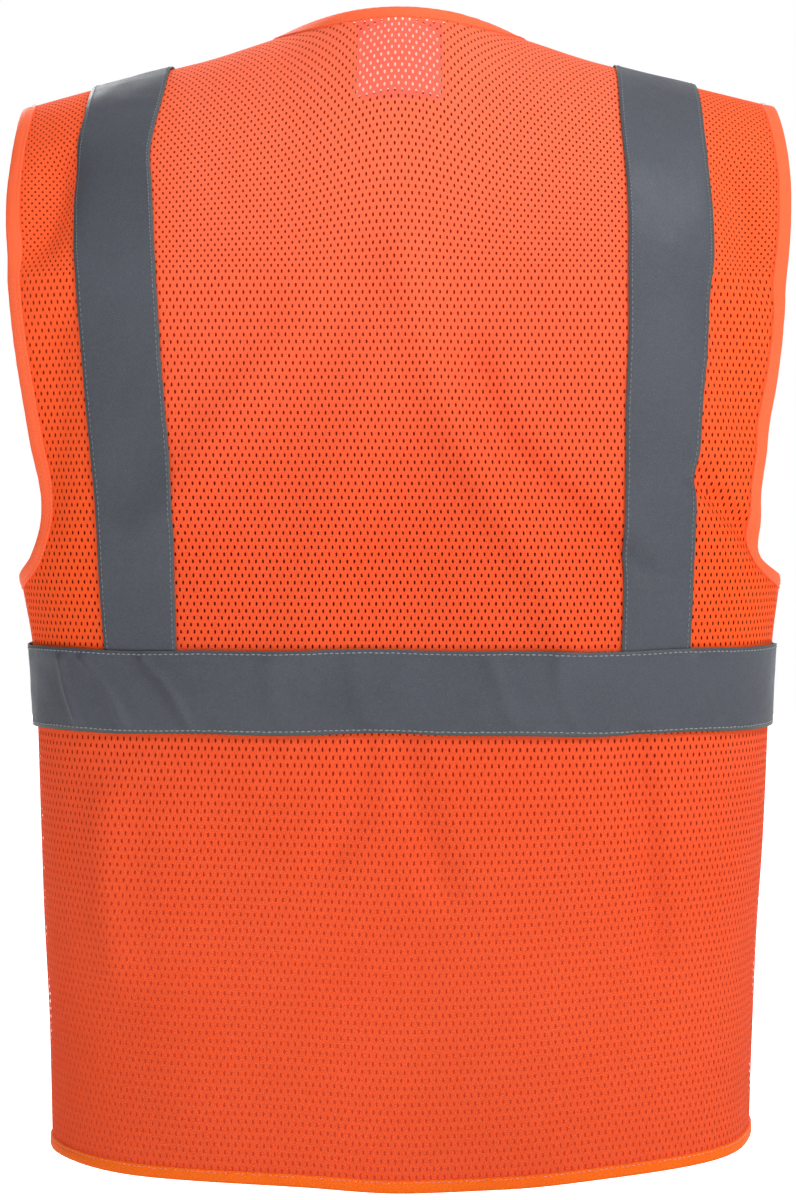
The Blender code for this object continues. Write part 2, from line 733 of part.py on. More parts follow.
def build():
    """Make every piece of the vest."""
    for obj in list(bpy.data.objects):
        bpy.data.objects.remove(obj, do_unlink=True)
    vest = bpy.data.collections.new("high_visibility_vest")
    helpers = bpy.data.collections.new("cutters")
    for collection in (vest, helpers):
        bpy.context.scene.collection.children.link(collection)
    mats = {
        "mesh": material("orange_mesh", ORANGE, 0.80),
        "cloth": material("orange_cloth", ORANGE, 0.75),
        "binding": material("orange_binding", BRIGHT_ORANGE, 0.70),
        "tape": material("reflective_tape", GREY, 0.45),
        "zip_tape": material("zip_tape_weave", BRIGHT_ORANGE, 0.80),
        "chain": material("zip_plastic", BRIGHT_ORANGE, 0.40),
        "metal": material("slider_metal", DARK, 0.40, 0.6),
        "touch": material("touch_tape", DARK, 0.90),
        "clear": material("clear_window", CLEAR, 0.15),
        "label": material("label_cloth", WHITE, 0.85),
    }
    back_panel(mats["mesh"], vest)
    waist_tape("waist_tape_back", BACK, -1.0, 1.0, 28, mats["tape"], vest)
    hem_binding("hem_binding_back", BACK, -1.0, 1.0, 28, mats["binding"], vest)
    strip("neck_binding_back", neck_back_band(), BACK, 1, 0, BINDING_THICKNESS, mats["binding"], vest)
    label_top = PANEL_NECK_BACK[-1, 1] - 0.002
    label = [[(p, label_top - LABEL_HEIGHT * j / 3) for j in range(4)]
             for p in (-LABEL_HALF_WIDTH, 0.0, LABEL_HALF_WIDTH)]
    strip("neck_label", label, BACK, 1, LABEL_LIFT, TAPE_THICKNESS, mats["label"], vest)
    side_pieces("left", LEFT, mats, vest)
    side_pieces("right", RIGHT, mats, vest)

    pocket_bag("phone_pocket", PHONE_POCKET, LEFT, 6, 3, mats["cloth"], vest)
    flap("phone_flap", PHONE_POCKET, PHONE_FLAP_TOP, PHONE_FLAP_LOW, LEFT, 5, mats["cloth"], vest)
    middle = (PHONE_POCKET.left + PHONE_POCKET.right) / 2
    for word, lift in (("loop", PHONE_POCKET.loop_lift), ("hook", PHONE_POCKET.hook_lift)):
        patch(f"phone_{word}_tape", middle, 0.015, -0.280, -0.262, LEFT, lift, mats["touch"], vest)
    id_pocket(mats["cloth"], mats["clear"], vest)

    low = HEM_Z + 0.004
    lifts = (CHAIN_BACK, CHAIN_FRONT)
    zip_block("zip_pin", LEFT, (CHAIN_INNER, CHAIN_OUTER), lifts, (low, low + PIN_LENGTH),
              mats["chain"], vest, MOULDED_EDGE)
    zip_block("zip_retainer_box", RIGHT, (CHAIN_INNER, CHAIN_OUTER + BOX_EXTRA_WIDTH),
              (CHAIN_BACK, CHAIN_FRONT + BOX_EXTRA_DEPTH), (low, low + PIN_LENGTH),
              mats["chain"], vest, MOULDED_EDGE)
    axis_y = zip_slider(mats["metal"], vest, helpers)
    zip_pull(axis_y, mats["metal"], vest, helpers)
    return axis_y


PULL_AXIS_Y = build()
print("pull hinge", round(PULL_AXIS_Y, 5), round(SLIDER_Z, 5), "shoulder h", round(SHOULDER_H, 4))
for flap_name, bag, flap_top, flap_side in (
    ("lower left", LOWER_POCKET, LOWER_FLAP_TOP, LEFT),
    ("lower right", LOWER_POCKET, LOWER_FLAP_TOP, RIGHT),
    ("phone", PHONE_POCKET, PHONE_FLAP_TOP, LEFT),
):
    hinge_point, hinge_axis = flap_hinge(bag, flap_top, flap_side)
    print(flap_name, "flap hinge", [round(c, 5) for c in hinge_point], [round(c, 5) for c in hinge_axis])
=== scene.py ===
# %% [markdown]
# # A high visibility vest
# An orange open-mesh vest with grey reflective tape, shown the way it hangs on a body.
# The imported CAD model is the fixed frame: it says where each panel, tape and zip part is.
# This lesson puts real cloth on that frame. Each piece is first drawn flat, like a sewing
# pattern, and then wrapped round one smooth torso, because that is how cloth keeps its
# size: a hole that is 2 mm tall in the pattern is 2 mm tall on the body.

# %% Load the frame
import math

import bmesh
import bpy
import numpy as np
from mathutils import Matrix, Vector


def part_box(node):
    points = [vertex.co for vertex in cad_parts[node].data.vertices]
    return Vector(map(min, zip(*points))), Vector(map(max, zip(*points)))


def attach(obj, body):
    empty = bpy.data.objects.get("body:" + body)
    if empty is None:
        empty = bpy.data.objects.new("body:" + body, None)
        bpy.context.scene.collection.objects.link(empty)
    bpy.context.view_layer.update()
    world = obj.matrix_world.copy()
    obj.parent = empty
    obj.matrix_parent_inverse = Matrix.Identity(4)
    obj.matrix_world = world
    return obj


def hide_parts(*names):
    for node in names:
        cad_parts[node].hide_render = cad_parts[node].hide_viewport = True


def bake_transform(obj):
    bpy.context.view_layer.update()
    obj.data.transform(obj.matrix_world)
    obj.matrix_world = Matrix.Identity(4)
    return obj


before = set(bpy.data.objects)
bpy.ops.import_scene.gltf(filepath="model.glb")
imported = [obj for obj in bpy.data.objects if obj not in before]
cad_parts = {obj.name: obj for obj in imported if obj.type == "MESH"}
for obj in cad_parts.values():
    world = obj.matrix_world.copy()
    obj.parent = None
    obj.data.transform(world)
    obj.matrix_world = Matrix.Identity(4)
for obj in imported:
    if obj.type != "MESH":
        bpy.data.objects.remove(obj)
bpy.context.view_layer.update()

# %% [markdown]
# ## The camera, the floor and the light
# The vest is seen from straight behind, from chest height, with a long lens. A long lens
# keeps the shoulders and the hem in proportion. The standard view transform is used
# because the default one greys out strong oranges, and a safety orange has to stay strong.

# %% Camera
BACK, FRONT = 1.0, -1.0
LEFT, RIGHT = 1.0, -1.0
CAMERA_DISTANCE = 1.925
CAMERA_Z = -0.3086
CAMERA_X = 0.0012
LENS_MM = 88.5
SENSOR_MM = 36.0
LENS_DROP = -0.0717

camera_data = bpy.data.cameras.new("camera")
camera_data.lens = LENS_MM
camera_data.sensor_width = SENSOR_MM
camera = bpy.data.objects.new("camera", camera_data)
bpy.context.scene.collection.objects.link(camera)
camera_data.shift_y = LENS_DROP
camera.location = (CAMERA_X, CAMERA_DISTANCE, CAMERA_Z)
camera.rotation_mode = "QUATERNION"
camera.rotation_quaternion = Vector((0, -1, 0)).to_track_quat("-Z", "Y")
bpy.context.scene.camera = camera
bpy.context.scene.view_settings.view_transform = "Standard"

# %% Floor and light
FLOOR_Z = -1.05
FLOOR_HALF = 9.0
VEST_MIDDLE = Vector((0.0, 0.0, -0.35))
# Each light: name, place, width and power in watts.
LIGHTS = (
    ("key", (-0.85, 1.35, 0.75), 0.7, 17.0),
    ("fill", (0.5, 2.6, -0.2), 1.6, 4.0),
    ("front_key", (0.85, -1.35, 0.75), 0.7, 17.0),
    ("front_fill", (-0.5, -2.6, -0.2), 1.6, 6.0),
    ("top", (0.0, 0.2, 1.5), 0.8, 6.5),
)


def area_light(name, place, size, power):
    """A square softbox that looks at the middle of the vest."""
    data = bpy.data.lights.new(name, "AREA")
    data.size = size
    data.energy = power
    light = bpy.data.objects.new(name, data)
    bpy.context.scene.collection.objects.link(light)
    light.location = place
    toward = VEST_MIDDLE - Vector(place)
    light.rotation_mode = "QUATERNION"
    light.rotation_quaternion = toward.to_track_quat("-Z", "Y")
    light.visible_camera = False


for light_facts in LIGHTS:
    area_light(*light_facts)

# The white room is darker to the left than to the right, and a little darker behind the viewer.
# Each shade: the axis, where along it the shade starts and ends, and what it leaves of the light.
# Only the vest and the floor are lit by these shades: the camera itself sees the room plain white.
SKY_SHADES = (("X", 0.17, 0.70, 0.12), ("X", -0.35, -0.95, 0.45), ("Y", -0.10, 0.45, 0.42))
world = bpy.data.worlds.new("studio")
world.use_nodes = True
sky = world.node_tree
direction = sky.nodes.new("ShaderNodeSeparateXYZ")
sky.links.new(sky.nodes.new("ShaderNodeTexCoord").outputs["Generated"], direction.inputs[0])
strength = None
for axis, start, end, least in SKY_SHADES:
    shade = sky.nodes.new("ShaderNodeMapRange")
    shade.inputs["From Min"].default_value = start
    shade.inputs["From Max"].default_value = end
    shade.inputs["To Min"].default_value = 1.0
    shade.inputs["To Max"].default_value = least
    sky.links.new(direction.outputs[axis], shade.inputs["Value"])
    if strength is None:
        strength = shade.outputs[0]
        continue
    product = sky.nodes.new("ShaderNodeMath")
    product.operation = "MULTIPLY"
    sky.links.new(strength, product.inputs[0])
    sky.links.new(shade.outputs[0], product.inputs[1])
    strength = product.outputs[0]
seen = sky.nodes.new("ShaderNodeMath")
seen.operation = "MAXIMUM"
sky.links.new(strength, seen.inputs[0])
sky.links.new(sky.nodes.new("ShaderNodeLightPath").outputs["Is Camera Ray"], seen.inputs[1])
sky.nodes["Background"].inputs["Color"].default_value = (1, 1, 1, 1)
sky.links.new(seen.outputs[0], sky.nodes["Background"].inputs["Strength"])
bpy.context.scene.world = world

floor_mesh = bpy.data.meshes.new("floor")
corners = [(x * FLOOR_HALF, y * FLOOR_HALF, FLOOR_Z) for x, y in ((-1, -1), (1, -1), (1, 1), (-1, 1))]
floor_mesh.from_pydata(corners, [], [(0, 1, 2, 3)])
floor = bpy.data.objects.new("floor", floor_mesh)
bpy.context.scene.collection.objects.link(floor)

# %% [markdown]
# ## The torso
# Under the cloth is one smooth body. Across, each section is a rounded oblong (a
# superellipse). Near the top the body closes over like an arch to the shoulder line,
# which falls 14 degrees to each side. A place on the cloth is a chart point: p is the
# distance round from the middle of the back or front, h is the height, and past the
# chest h goes on as the distance up and over the shoulder. The section lengths are
# worked out once into tables, so a million points can be wrapped in a moment.

# %% Sizes of the torso
HEM_Z = -0.722
HEM_SIDE_RISE = 0.006
UNDERARM_Z = -0.349
HALF_DEPTH = 0.125
SECTION_POWER = 3.0
SHOULDER_START_Z = -0.160
SHOULDER_POWER = 2.5
SHOULDER_SLOPE = math.radians(13.8)
NECK_HALF_WIDTH = 0.0757
NECK_RISE = 0.032
RIDGE_ROUNDING = 0.020
NECK_FRONT_Z = -0.180
WAIST_TOP_Z = -0.3920
TAPE_WIDTH = 0.050
ZIP_EDGE = 0.0050
BINDING_WIDTH = 0.0080

WIDTH_AT_HEIGHT = (
    (HEM_Z, 0.2245), (-0.575, 0.2290), (-0.443, 0.2379), (-0.390, 0.2418),
    (UNDERARM_Z, 0.2470), (-0.280, 0.2500), (-0.130, 0.2750), (0.030, 0.2750),
)
ARMHOLE = (
    (0.2413, -0.0409), (0.2458, -0.105), (0.2395, -0.190), (0.2290, -0.262),
    (0.2246, -0.303), (0.2310, -0.334), (0.2470, UNDERARM_Z),
)
NECK_BACK = ((NECK_HALF_WIDTH, 0.0), (0.0705, 0.0004), (0.055, 0.0026), (0.029, 0.0060), (0.0, 0.0072))
NECK_FRONT = ((NECK_HALF_WIDTH, 0.0), (0.063, -0.040), (0.041, -0.100), (ZIP_EDGE, NECK_FRONT_Z))
BRACE_CENTRE = ((WAIST_TOP_Z, 0.157), (-0.300, 0.160), (-0.180, 0.169), (-0.020, 0.170))


# %% A smooth curve through a few points
def curve_through(points):
    """A smooth function through (x, value) points with rising x. It takes arrays."""
    xs, ys = np.array(points, float).T
    slopes = np.gradient(ys, xs)

    def value(x):
        x = np.clip(x, xs[0], xs[-1])
        i = np.clip(np.searchsorted(xs, x) - 1, 0, len(xs) - 2)
        step = xs[i + 1] - xs[i]
        t = (x - xs[i]) / step
        start = (1 + 2 * t) * (1 - t) ** 2 * ys[i] + t * (1 - t) ** 2 * step * slopes[i]
        return start + t * t * (3 - 2 * t) * ys[i + 1] + t * t * (t - 1) * step * slopes[i + 1]

    return value


def ease(x, low, high):
    """A smooth step from 0 at low to 1 at high."""
    t = np.clip((x - low) / (high - low), 0, 1)
    return t * t * (3 - 2 * t)


half_width = curve_through(WIDTH_AT_HEIGHT)
brace_x = curve_through(BRACE_CENTRE)


def shoulder_z(x):
    """Height of the shoulder line, which goes on rising inside the neck."""
    ridge = np.hypot(x, RIDGE_ROUNDING) - math.hypot(NECK_HALF_WIDTH, RIDGE_ROUNDING)
    inside = np.maximum(0.0, 1 - (x / NECK_HALF_WIDTH) ** 2)
    return -math.tan(SHOULDER_SLOPE) * ridge + NECK_RISE * inside ** 2


def arc_lengths(across, along):
    """Running length of a curve given by its two coordinates."""
    return np.concatenate(([0.0], np.cumsum(np.hypot(np.diff(across), np.diff(along)))))


# %% The section tables
QUARTER = np.linspace(0.0, math.pi / 2, 1201)
ARCH_RISE = np.sin(QUARTER) ** (2 / SHOULDER_POWER)
ARCH_DEPTH = np.cos(QUARTER) ** (2 / SHOULDER_POWER)
ARCH_HEIGHT = float(shoulder_z(0.0)) - SHOULDER_START_Z
ARCH_LENGTH = arc_lengths(ARCH_HEIGHT * ARCH_RISE, HALF_DEPTH * ARCH_DEPTH)
SHOULDER_H = SHOULDER_START_Z + float(ARCH_LENGTH[-1])

HEIGHTS = np.linspace(HEM_Z - 0.012, SHOULDER_H, 700)
SHARES = np.linspace(0, 1, 320)
RISES = np.interp(HEIGHTS - SHOULDER_START_Z, ARCH_LENGTH, ARCH_RISE)
DEPTHS = np.interp(HEIGHTS - SHOULDER_START_Z, ARCH_LENGTH, ARCH_DEPTH)
TABLE_X, TABLE_Y, SEAMS = [], [], []
for height, rise, depth in zip(HEIGHTS, RISES, DEPTHS):
    z = height if rise == 0 else SHOULDER_START_Z + ARCH_HEIGHT * rise
    xs = half_width(z) * np.sin(QUARTER) ** (2 / SECTION_POWER)
    ys = HALF_DEPTH * depth * np.cos(QUARTER) ** (2 / SECTION_POWER)
    arc = arc_lengths(xs, ys)
    TABLE_X.append(np.interp(SHARES * arc[-1], arc, xs))
    TABLE_Y.append(np.interp(SHARES * arc[-1], arc, ys))
    SEAMS.append(arc[-1])
TABLE_X, TABLE_Y, SEAMS = (np.array(t) for t in (TABLE_X, TABLE_Y, SEAMS))
print(f"torso: half girth at the waist tape {2 * np.interp(WAIST_TOP_Z, HEIGHTS, SEAMS):.3f} m")


def seam_p(h):
    """Chart distance of the side seam at height h."""
    return np.interp(h, HEIGHTS, SEAMS)


def lookup(table, h, share):
    """Value of a section table between its rows and columns."""
    row = np.clip((h - HEIGHTS[0]) / (HEIGHTS[-1] - HEIGHTS[0]) * (len(HEIGHTS) - 1), 0, len(HEIGHTS) - 1.001)
    column = np.clip(share * (len(SHARES) - 1), 0, len(SHARES) - 1.001)
    i, j = row.astype(int), column.astype(int)
    a, b = row - i, column - j
    low = table[i, j] * (1 - b) + table[i, j + 1] * b
    high = table[i + 1, j] * (1 - b) + table[i + 1, j + 1] * b
    return low * (1 - a) + high * a


def torso_point(face, p, h):
    """Points of the torso. Past the shoulder or the side seam, they go on to the other face."""
    over = h > SHOULDER_H
    h = np.where(over, 2 * SHOULDER_H - h, h)
    seam = seam_p(h)
    past = np.abs(p) > seam
    s = np.where(past, 2 * seam - np.abs(p), np.abs(p))
    side_y = face * np.where(over, -1.0, 1.0) * np.where(past, -1.0, 1.0)
    x = lookup(TABLE_X, h, s / seam)
    y = lookup(TABLE_Y, h, s / seam)
    rise = np.interp(h, HEIGHTS, RISES)
    z = np.where(rise > 0, SHOULDER_START_Z + (shoulder_z(x) - SHOULDER_START_Z) * rise, h)
    return np.stack((np.copysign(x, p), side_y * y, z), -1)


# %% [markdown]
# ## How the cloth hangs
# Cloth is never as smooth as the body under it. Broad, shallow folds run down from the
# shoulders and open out towards the hem. They are a sum of a few slow waves that
# depend on the place in space, so layers that lie on each other share the same folds.

# %% Folds and wrapping
# Each fold is a ridge, or a valley if its depth is negative: (height, x) along it, half width, depth.
FOLD_FULLNESS = 1.8
BACK_FOLDS = (
    (((-0.400, -0.104), (-0.357, -0.089), (-0.288, -0.049), (-0.230, -0.024), (-0.150, -0.003)), 0.016,
     0.0038),
    (((-0.345, -0.145), (-0.330, -0.131), (-0.259, -0.062), (-0.215, -0.045)), 0.013, -0.0034),
    (((-0.320, 0.150), (-0.298, 0.136), (-0.240, 0.097), (-0.190, 0.058)), 0.018, 0.0026),
    (((-0.400, 0.062), (-0.340, 0.050), (-0.270, 0.030), (-0.200, 0.012)), 0.022, 0.0024),
    (((-0.400, -0.010), (-0.330, -0.004), (-0.300, 0.0)), 0.030, -0.0022),
    (((-0.150, 0.226), (-0.125, 0.218), (-0.100, 0.212)), 0.015, -0.0056),
    (((-0.170, -0.224), (-0.135, -0.216), (-0.100, -0.210)), 0.014, -0.0040),
    (((-0.320, 0.222), (-0.250, 0.212), (-0.200, 0.212)), 0.014, -0.0024),
    (((-0.260, -0.216), (-0.220, -0.206), (-0.180, -0.196)), 0.016, -0.0026),
    (((-0.345, -0.236), (-0.330, -0.224), (-0.288, -0.184)), 0.010, -0.0036),
    (((-0.590, -0.158), (-0.520, -0.150), (-0.450, -0.142)), 0.010, -0.0034),
    (((-0.600, 0.172), (-0.530, 0.182), (-0.490, 0.184)), 0.014, 0.0030),
    (((-0.700, 0.120), (-0.600, 0.140), (-0.500, 0.150)), 0.030, 0.0024),
    (((-0.530, 0.050), (-0.490, 0.030), (-0.450, 0.022)), 0.012, -0.0020),
    (((-0.550, -0.030), (-0.500, -0.012), (-0.450, 0.000)), 0.012, -0.0022),
)
HEM_SAG = (
    (-0.30, 0.0100), (-0.19, 0.0086), (-0.125, 0.0055), (-0.06, 0.0), (0.0, -0.0025), (0.06, 0.0025),
    (0.125, 0.0043), (0.17, 0.0043), (0.215, 0.0050), (0.30, 0.0060),
)
SIDE_LEAN = (
    (-0.73, -0.0018), (-0.64, -0.0006), (-0.58, -0.0006), (-0.52, -0.0022), (-0.45, -0.0022),
    (-0.35, -0.0025), (-0.26, 0.0), (-0.18, 0.0012), (-0.10, 0.0012), (0.05, 0.0),
)
SHOULDER_PRESS = 0.0045
FOLD_DEPTH = 0.0030
CROSS_FOLD_DEPTH = 0.0022
BROAD_FOLDS = ((4.0, 0.6, 3.0, 1.0), (7.0, 2.1, -5.0, 0.6), (11.0, 4.0, 7.0, 0.35))
CROSS_FOLDS = ((17.0, 11.0, 0.4, 1.0), (-13.0, 19.0, 2.2, 0.8), (29.0, -23.0, 1.1, 0.35),
               (6.0, 31.0, 3.7, 0.4))


def fold_field(folds):
    """A function that adds up a set of folds at points given by x and z."""
    lines = [(curve_through(points), points[0][0], points[-1][0], half, FOLD_FULLNESS * depth)
             for points, half, depth in folds]

    def lift(x, z):
        total = np.zeros_like(x)
        for centre, low, high, half, depth in lines:
            ends = ease(z, low - half, low + half) * ease(z, high + 2 * half, high)
            total += depth * ends * np.exp(-((x - centre(z)) / half) ** 2)
        return total

    return lift


back_folds = fold_field(BACK_FOLDS)


def drape(place):
    """How far the cloth stands off the torso at the given points."""
    x, y, z = place[..., 0], place[..., 1], place[..., 2]
    turn = np.arctan2(y, 0.6 * x)
    lower = 0.25 + 0.75 * ease(-z, 0.42, 0.70)
    hanging = sum(share * np.sin(count * turn + phase + drift * z)
                  for count, phase, drift, share in BROAD_FOLDS)
    crossing = sum(share * np.sin(a * x + b * z + phase + 6 * y) for a, b, phase, share in CROSS_FOLDS)
    held = ease(np.abs(z), 0.0, 0.10)
    waves = held * (FOLD_DEPTH * lower * hanging + CROSS_FOLD_DEPTH * (1 - 0.5 * lower) * crossing)
    zip_line = ease(y, -0.10, 0.0) + ease(np.abs(x), 0.006, 0.040) * (1 - ease(y, -0.10, 0.0))
    return waves * zip_line + back_folds(x, z) * ease(y, 0.0, 0.05)


hem_sag = curve_through(HEM_SAG)
side_lean = curve_through(SIDE_LEAN)


def hem_rise(p, h):
    """How far the cloth is drawn up towards the sides of the hem, and sags in the middle."""
    waist = WAIST_TOP_Z - TAPE_WIDTH
    share = np.clip((waist - h) / (waist - HEM_Z), 0.0, 1.0)
    return share * (HEM_SIDE_RISE * (p / seam_p(h)) ** 2 + hem_sag(p))


def settle(place):
    """Cloth as it has settled: shoulders pressed down by their tapes, the back pulled a little aside."""
    x, y, z = place[..., 0], place[..., 1], place[..., 2]
    aside = side_lean(z) * ease(y, -0.09, 0.0)
    down = SHOULDER_PRESS * ease(np.abs(x), 0.06, 0.13) * ease(z, -0.13, -0.03)
    return np.stack((x + aside, y, z - down), -1)


def wrap(face, p, h, lift=0.0):
    """Chart points as points in space, standing lift outside the cloth's own surface."""
    p, h = np.asarray(p, float), np.asarray(h, float)
    h = h + hem_rise(p, h)
    step = 0.002
    across = torso_point(face, p + step, h) - torso_point(face, p - step, h)
    up = torso_point(face, p, h + step) - torso_point(face, p, h - step)
    place = torso_point(face, p, h)
    normal = np.cross(across, up)
    normal /= np.linalg.norm(normal, axis=-1, keepdims=True)
    outward = place * (1, 1, 0) + (0, 0, 0.3)
    normal *= np.sign((normal * outward).sum(-1, keepdims=True))
    return settle(place + (drape(place) + lift)[..., None] * normal)


# %% [markdown]
# ## Finishes
# Three effects are shared as node groups: dye variation, a yarn relief that gives both the
# knit and the weave, and a mask for the long edges of a ribbon. The glass beads of the tape
# are made in its own material. Each material holds its own Principled shader and places
# the groups it needs with its own values. Patterns read the piece's own chart as a UV
# map, so the knit follows the cloth round the body and stays on it when it moves.

# %% Helpers for node trees
def put(tree, kind, inputs=None, **settings):
    """Add a node, set its properties and fill its inputs with values or sockets."""
    node = tree.nodes.new(kind)
    for key, value in settings.items():
        setattr(node, key, value)
    for key, value in (inputs or {}).items():
        if isinstance(value, bpy.types.NodeSocket):
            tree.links.new(value, node.inputs[key])
        else:
            node.inputs[key].default_value = value
    return node


def shader_group(name, inputs, outputs):
    """An empty shader group with named float or colour sockets."""
    tree = bpy.data.node_groups.new(name, "ShaderNodeTree")
    for direction, sockets in (("INPUT", inputs), ("OUTPUT", outputs)):
        for label, kind, value in sockets:
            socket = tree.interface.new_socket(label, in_out=direction, socket_type="NodeSocket" + kind)
            if value is not None:
                socket.default_value = value
    return tree, tree.nodes.new("NodeGroupInput"), tree.nodes.new("NodeGroupOutput")


def place_group(mat, group, **values):
    """Place a shared group in a material and set its inputs."""
    node = mat.node_tree.nodes.new("ShaderNodeGroup")
    node.node_tree = group
    for key, value in values.items():
        node.inputs[key.replace("_", " ")].default_value = value
    return node


# %% Shared effects
WHITE = (1.0, 1.0, 1.0, 1.0)
BLACK = (0.0, 0.0, 0.0, 1.0)


def calc(tree, operation, a, b=0.0, c=0.0):
    """One sum, product or other math step, in a shader or a geometry tree."""
    return put(tree, "ShaderNodeMath", {0: a, 1: b, 2: c}, operation=operation).outputs[0]


def map_range(tree, value, start, end, least=0.0, most=1.0):
    """A value that goes from least to most while the given one goes from start to end."""
    given = {"Value": value, "From Min": start, "From Max": end, "To Min": least, "To Max": most}
    return put(tree, "ShaderNodeMapRange", given).outputs[0]


def object_place(tree):
    """Where a point is in the object's own metres."""
    return put(tree, "ShaderNodeTexCoord").outputs["Object"]


def object_axes(tree):
    """The same place as separate X, Y and Z."""
    return put(tree, "ShaderNodeSeparateXYZ", {0: object_place(tree)}).outputs


def darker(colour, share):
    """The same colour with only a share of its light."""
    return tuple(share * c for c in colour[:3]) + (1.0,)


def mix_colour(tree, factor, a, b):
    """A colour mix whose factor and colours may be sockets or values."""
    node = put(tree, "ShaderNodeMix", data_type="RGBA")
    for index, value in ((0, factor), (6, a), (7, b)):
        if isinstance(value, bpy.types.NodeSocket):
            tree.links.new(value, node.inputs[index])
        else:
            node.inputs[index].default_value = value
    return node.outputs[2]


def make_dye_group():
    """Colour that drifts lighter and darker, as dyed cloth does, broadly and finely."""
    tree, start, end = shader_group(
        "dye variation",
        (("Color", "Color", WHITE), ("Shade", "Color", BLACK), ("Frequency", "Float", 9.0),
         ("Amount", "Float", 0.3)),
        (("Color", "Color", None), ("Mask", "Float", None)),
    )
    place = object_place(tree)
    frequency = start.outputs["Frequency"]
    broad = put(tree, "ShaderNodeTexNoise", {"Vector": place, "Scale": frequency, "Detail": 3.0})
    finer = calc(tree, "MULTIPLY", frequency, 15.0)
    fine = put(tree, "ShaderNodeTexNoise", {"Vector": place, "Scale": finer, "Detail": 2.0})
    both = calc(tree, "MULTIPLY_ADD", fine.outputs["Fac"], 0.4, broad.outputs["Fac"])
    mask = map_range(tree, both, 0.5, 0.9)
    amount = calc(tree, "MULTIPLY", mask, start.outputs["Amount"])
    mixed = mix_colour(tree, amount, start.outputs["Color"], start.outputs["Shade"])
    tree.links.new(mixed, end.inputs["Color"])
    tree.links.new(mask, end.inputs["Mask"])
    return tree


def make_yarn_group():
    """Relief of crossing yarns, read from the piece's own chart in metres."""
    tree, start, end = shader_group(
        "yarn relief",
        (("Across", "Float", 900.0), ("Along", "Float", 900.0), ("Depth", "Float", 0.0002),
         ("Strength", "Float", 0.4)),
        (("Normal", "Vector", None), ("Relief", "Float", None)),
    )
    chart_uv = put(tree, "ShaderNodeUVMap", uv_map="chart").outputs["UV"]
    parts = put(tree, "ShaderNodeSeparateXYZ", {0: chart_uv})
    across = calc(tree, "SINE", calc(tree, "MULTIPLY", parts.outputs["X"], start.outputs["Across"]))
    along = calc(tree, "SINE", calc(tree, "MULTIPLY", parts.outputs["Y"], start.outputs["Along"]))
    crossing = calc(tree, "MULTIPLY", across, along)
    fuzz = put(tree, "ShaderNodeTexNoise", {"Vector": chart_uv, "Scale": 1100.0,
                                            "Detail": 3.0}).outputs["Fac"]
    relief = calc(tree, "MULTIPLY_ADD", crossing, 0.12, fuzz)
    bump = put(tree, "ShaderNodeBump", {"Height": relief, "Distance": start.outputs["Depth"],
                                        "Strength": start.outputs["Strength"]})
    tree.links.new(bump.outputs["Normal"], end.inputs["Normal"])
    tree.links.new(relief, end.inputs["Relief"])
    return tree


def make_edge_group():
    """A mask that is 1 near both long edges of a ribbon, from its chart's across share."""
    tree, start, end = shader_group(
        "ribbon edges",
        (("Width", "Float", 0.05), ("Edge", "Float", 0.001)),
        (("Mask", "Float", None),),
    )
    chart_uv = put(tree, "ShaderNodeUVMap", uv_map="chart").outputs["UV"]
    across = put(tree, "ShaderNodeSeparateXYZ", {0: chart_uv})
    middle = calc(tree, "MULTIPLY", start.outputs["Width"], 0.5)
    off = calc(tree, "ABSOLUTE", calc(tree, "SUBTRACT", across.outputs["X"], middle))
    inner = calc(tree, "SUBTRACT", middle, start.outputs["Edge"])
    tree.links.new(calc(tree, "GREATER_THAN", off, inner), end.inputs["Mask"])
    return tree


DYE = make_dye_group()
YARN = make_yarn_group()
EDGES = make_edge_group()


# %% [markdown]
# A safety orange is fluorescent: it turns blue light into orange and so looks brighter
# than any plain dye. A little emission of the same orange stands for that.

# %% Materials
def new_material(name, roughness, **values):
    """A material with a Principled shader whose uniform values are set on its sockets."""
    mat = bpy.data.materials.new(name)
    mat.use_nodes = True
    shader = mat.node_tree.nodes["Principled BSDF"]
    shader.inputs["Roughness"].default_value = roughness
    for key, value in values.items():
        shader.inputs[key.replace("_", " ")].default_value = value
    return mat, mat.node_tree, shader


def recolour(mat, colour):
    """Use a colour for the light that a material throws back and for its glow."""
    for label in ("Base Color", "Emission Color"):
        mat.node_tree.links.new(colour, mat.node_tree.nodes["Principled BSDF"].inputs[label])


def own_colour(mat):
    """The socket that gives a material its colour so far."""
    return mat.node_tree.nodes["Principled BSDF"].inputs["Base Color"].links[0].from_socket


def cloth_material(name, colour, shade, glow, yarn, roughness=0.85, variation=0.35, sheen=0.0):
    """Dyed cloth: varied colour, yarn relief with painted shade in its low places, a sheen if one is given
    and, if fluorescent, a glow.
    """
    mat, tree, shader = new_material(name, roughness, Emission_Strength=glow, Sheen_Weight=sheen,
                                     Sheen_Roughness=0.6)
    shader.inputs["Specular IOR Level"].default_value = 0.08
    dye = place_group(mat, DYE, Color=colour, Shade=shade, Frequency=9.0, Amount=variation)
    across, along, depth, strength = yarn
    relief = place_group(mat, YARN, Across=across, Along=along, Depth=depth, Strength=strength)
    # Painted shade: where the yarn relief is low, the colour is darkened towards a deeper shade of the dye.
    shaded_hollows = map_range(tree, relief.outputs["Relief"], 0.62, 0.25, most=0.65)
    recolour(mat, mix_colour(tree, shaded_hollows, dye.outputs["Color"], darker(shade, 0.72)))
    tree.links.new(relief.outputs["Normal"], shader.inputs["Normal"])
    return mat


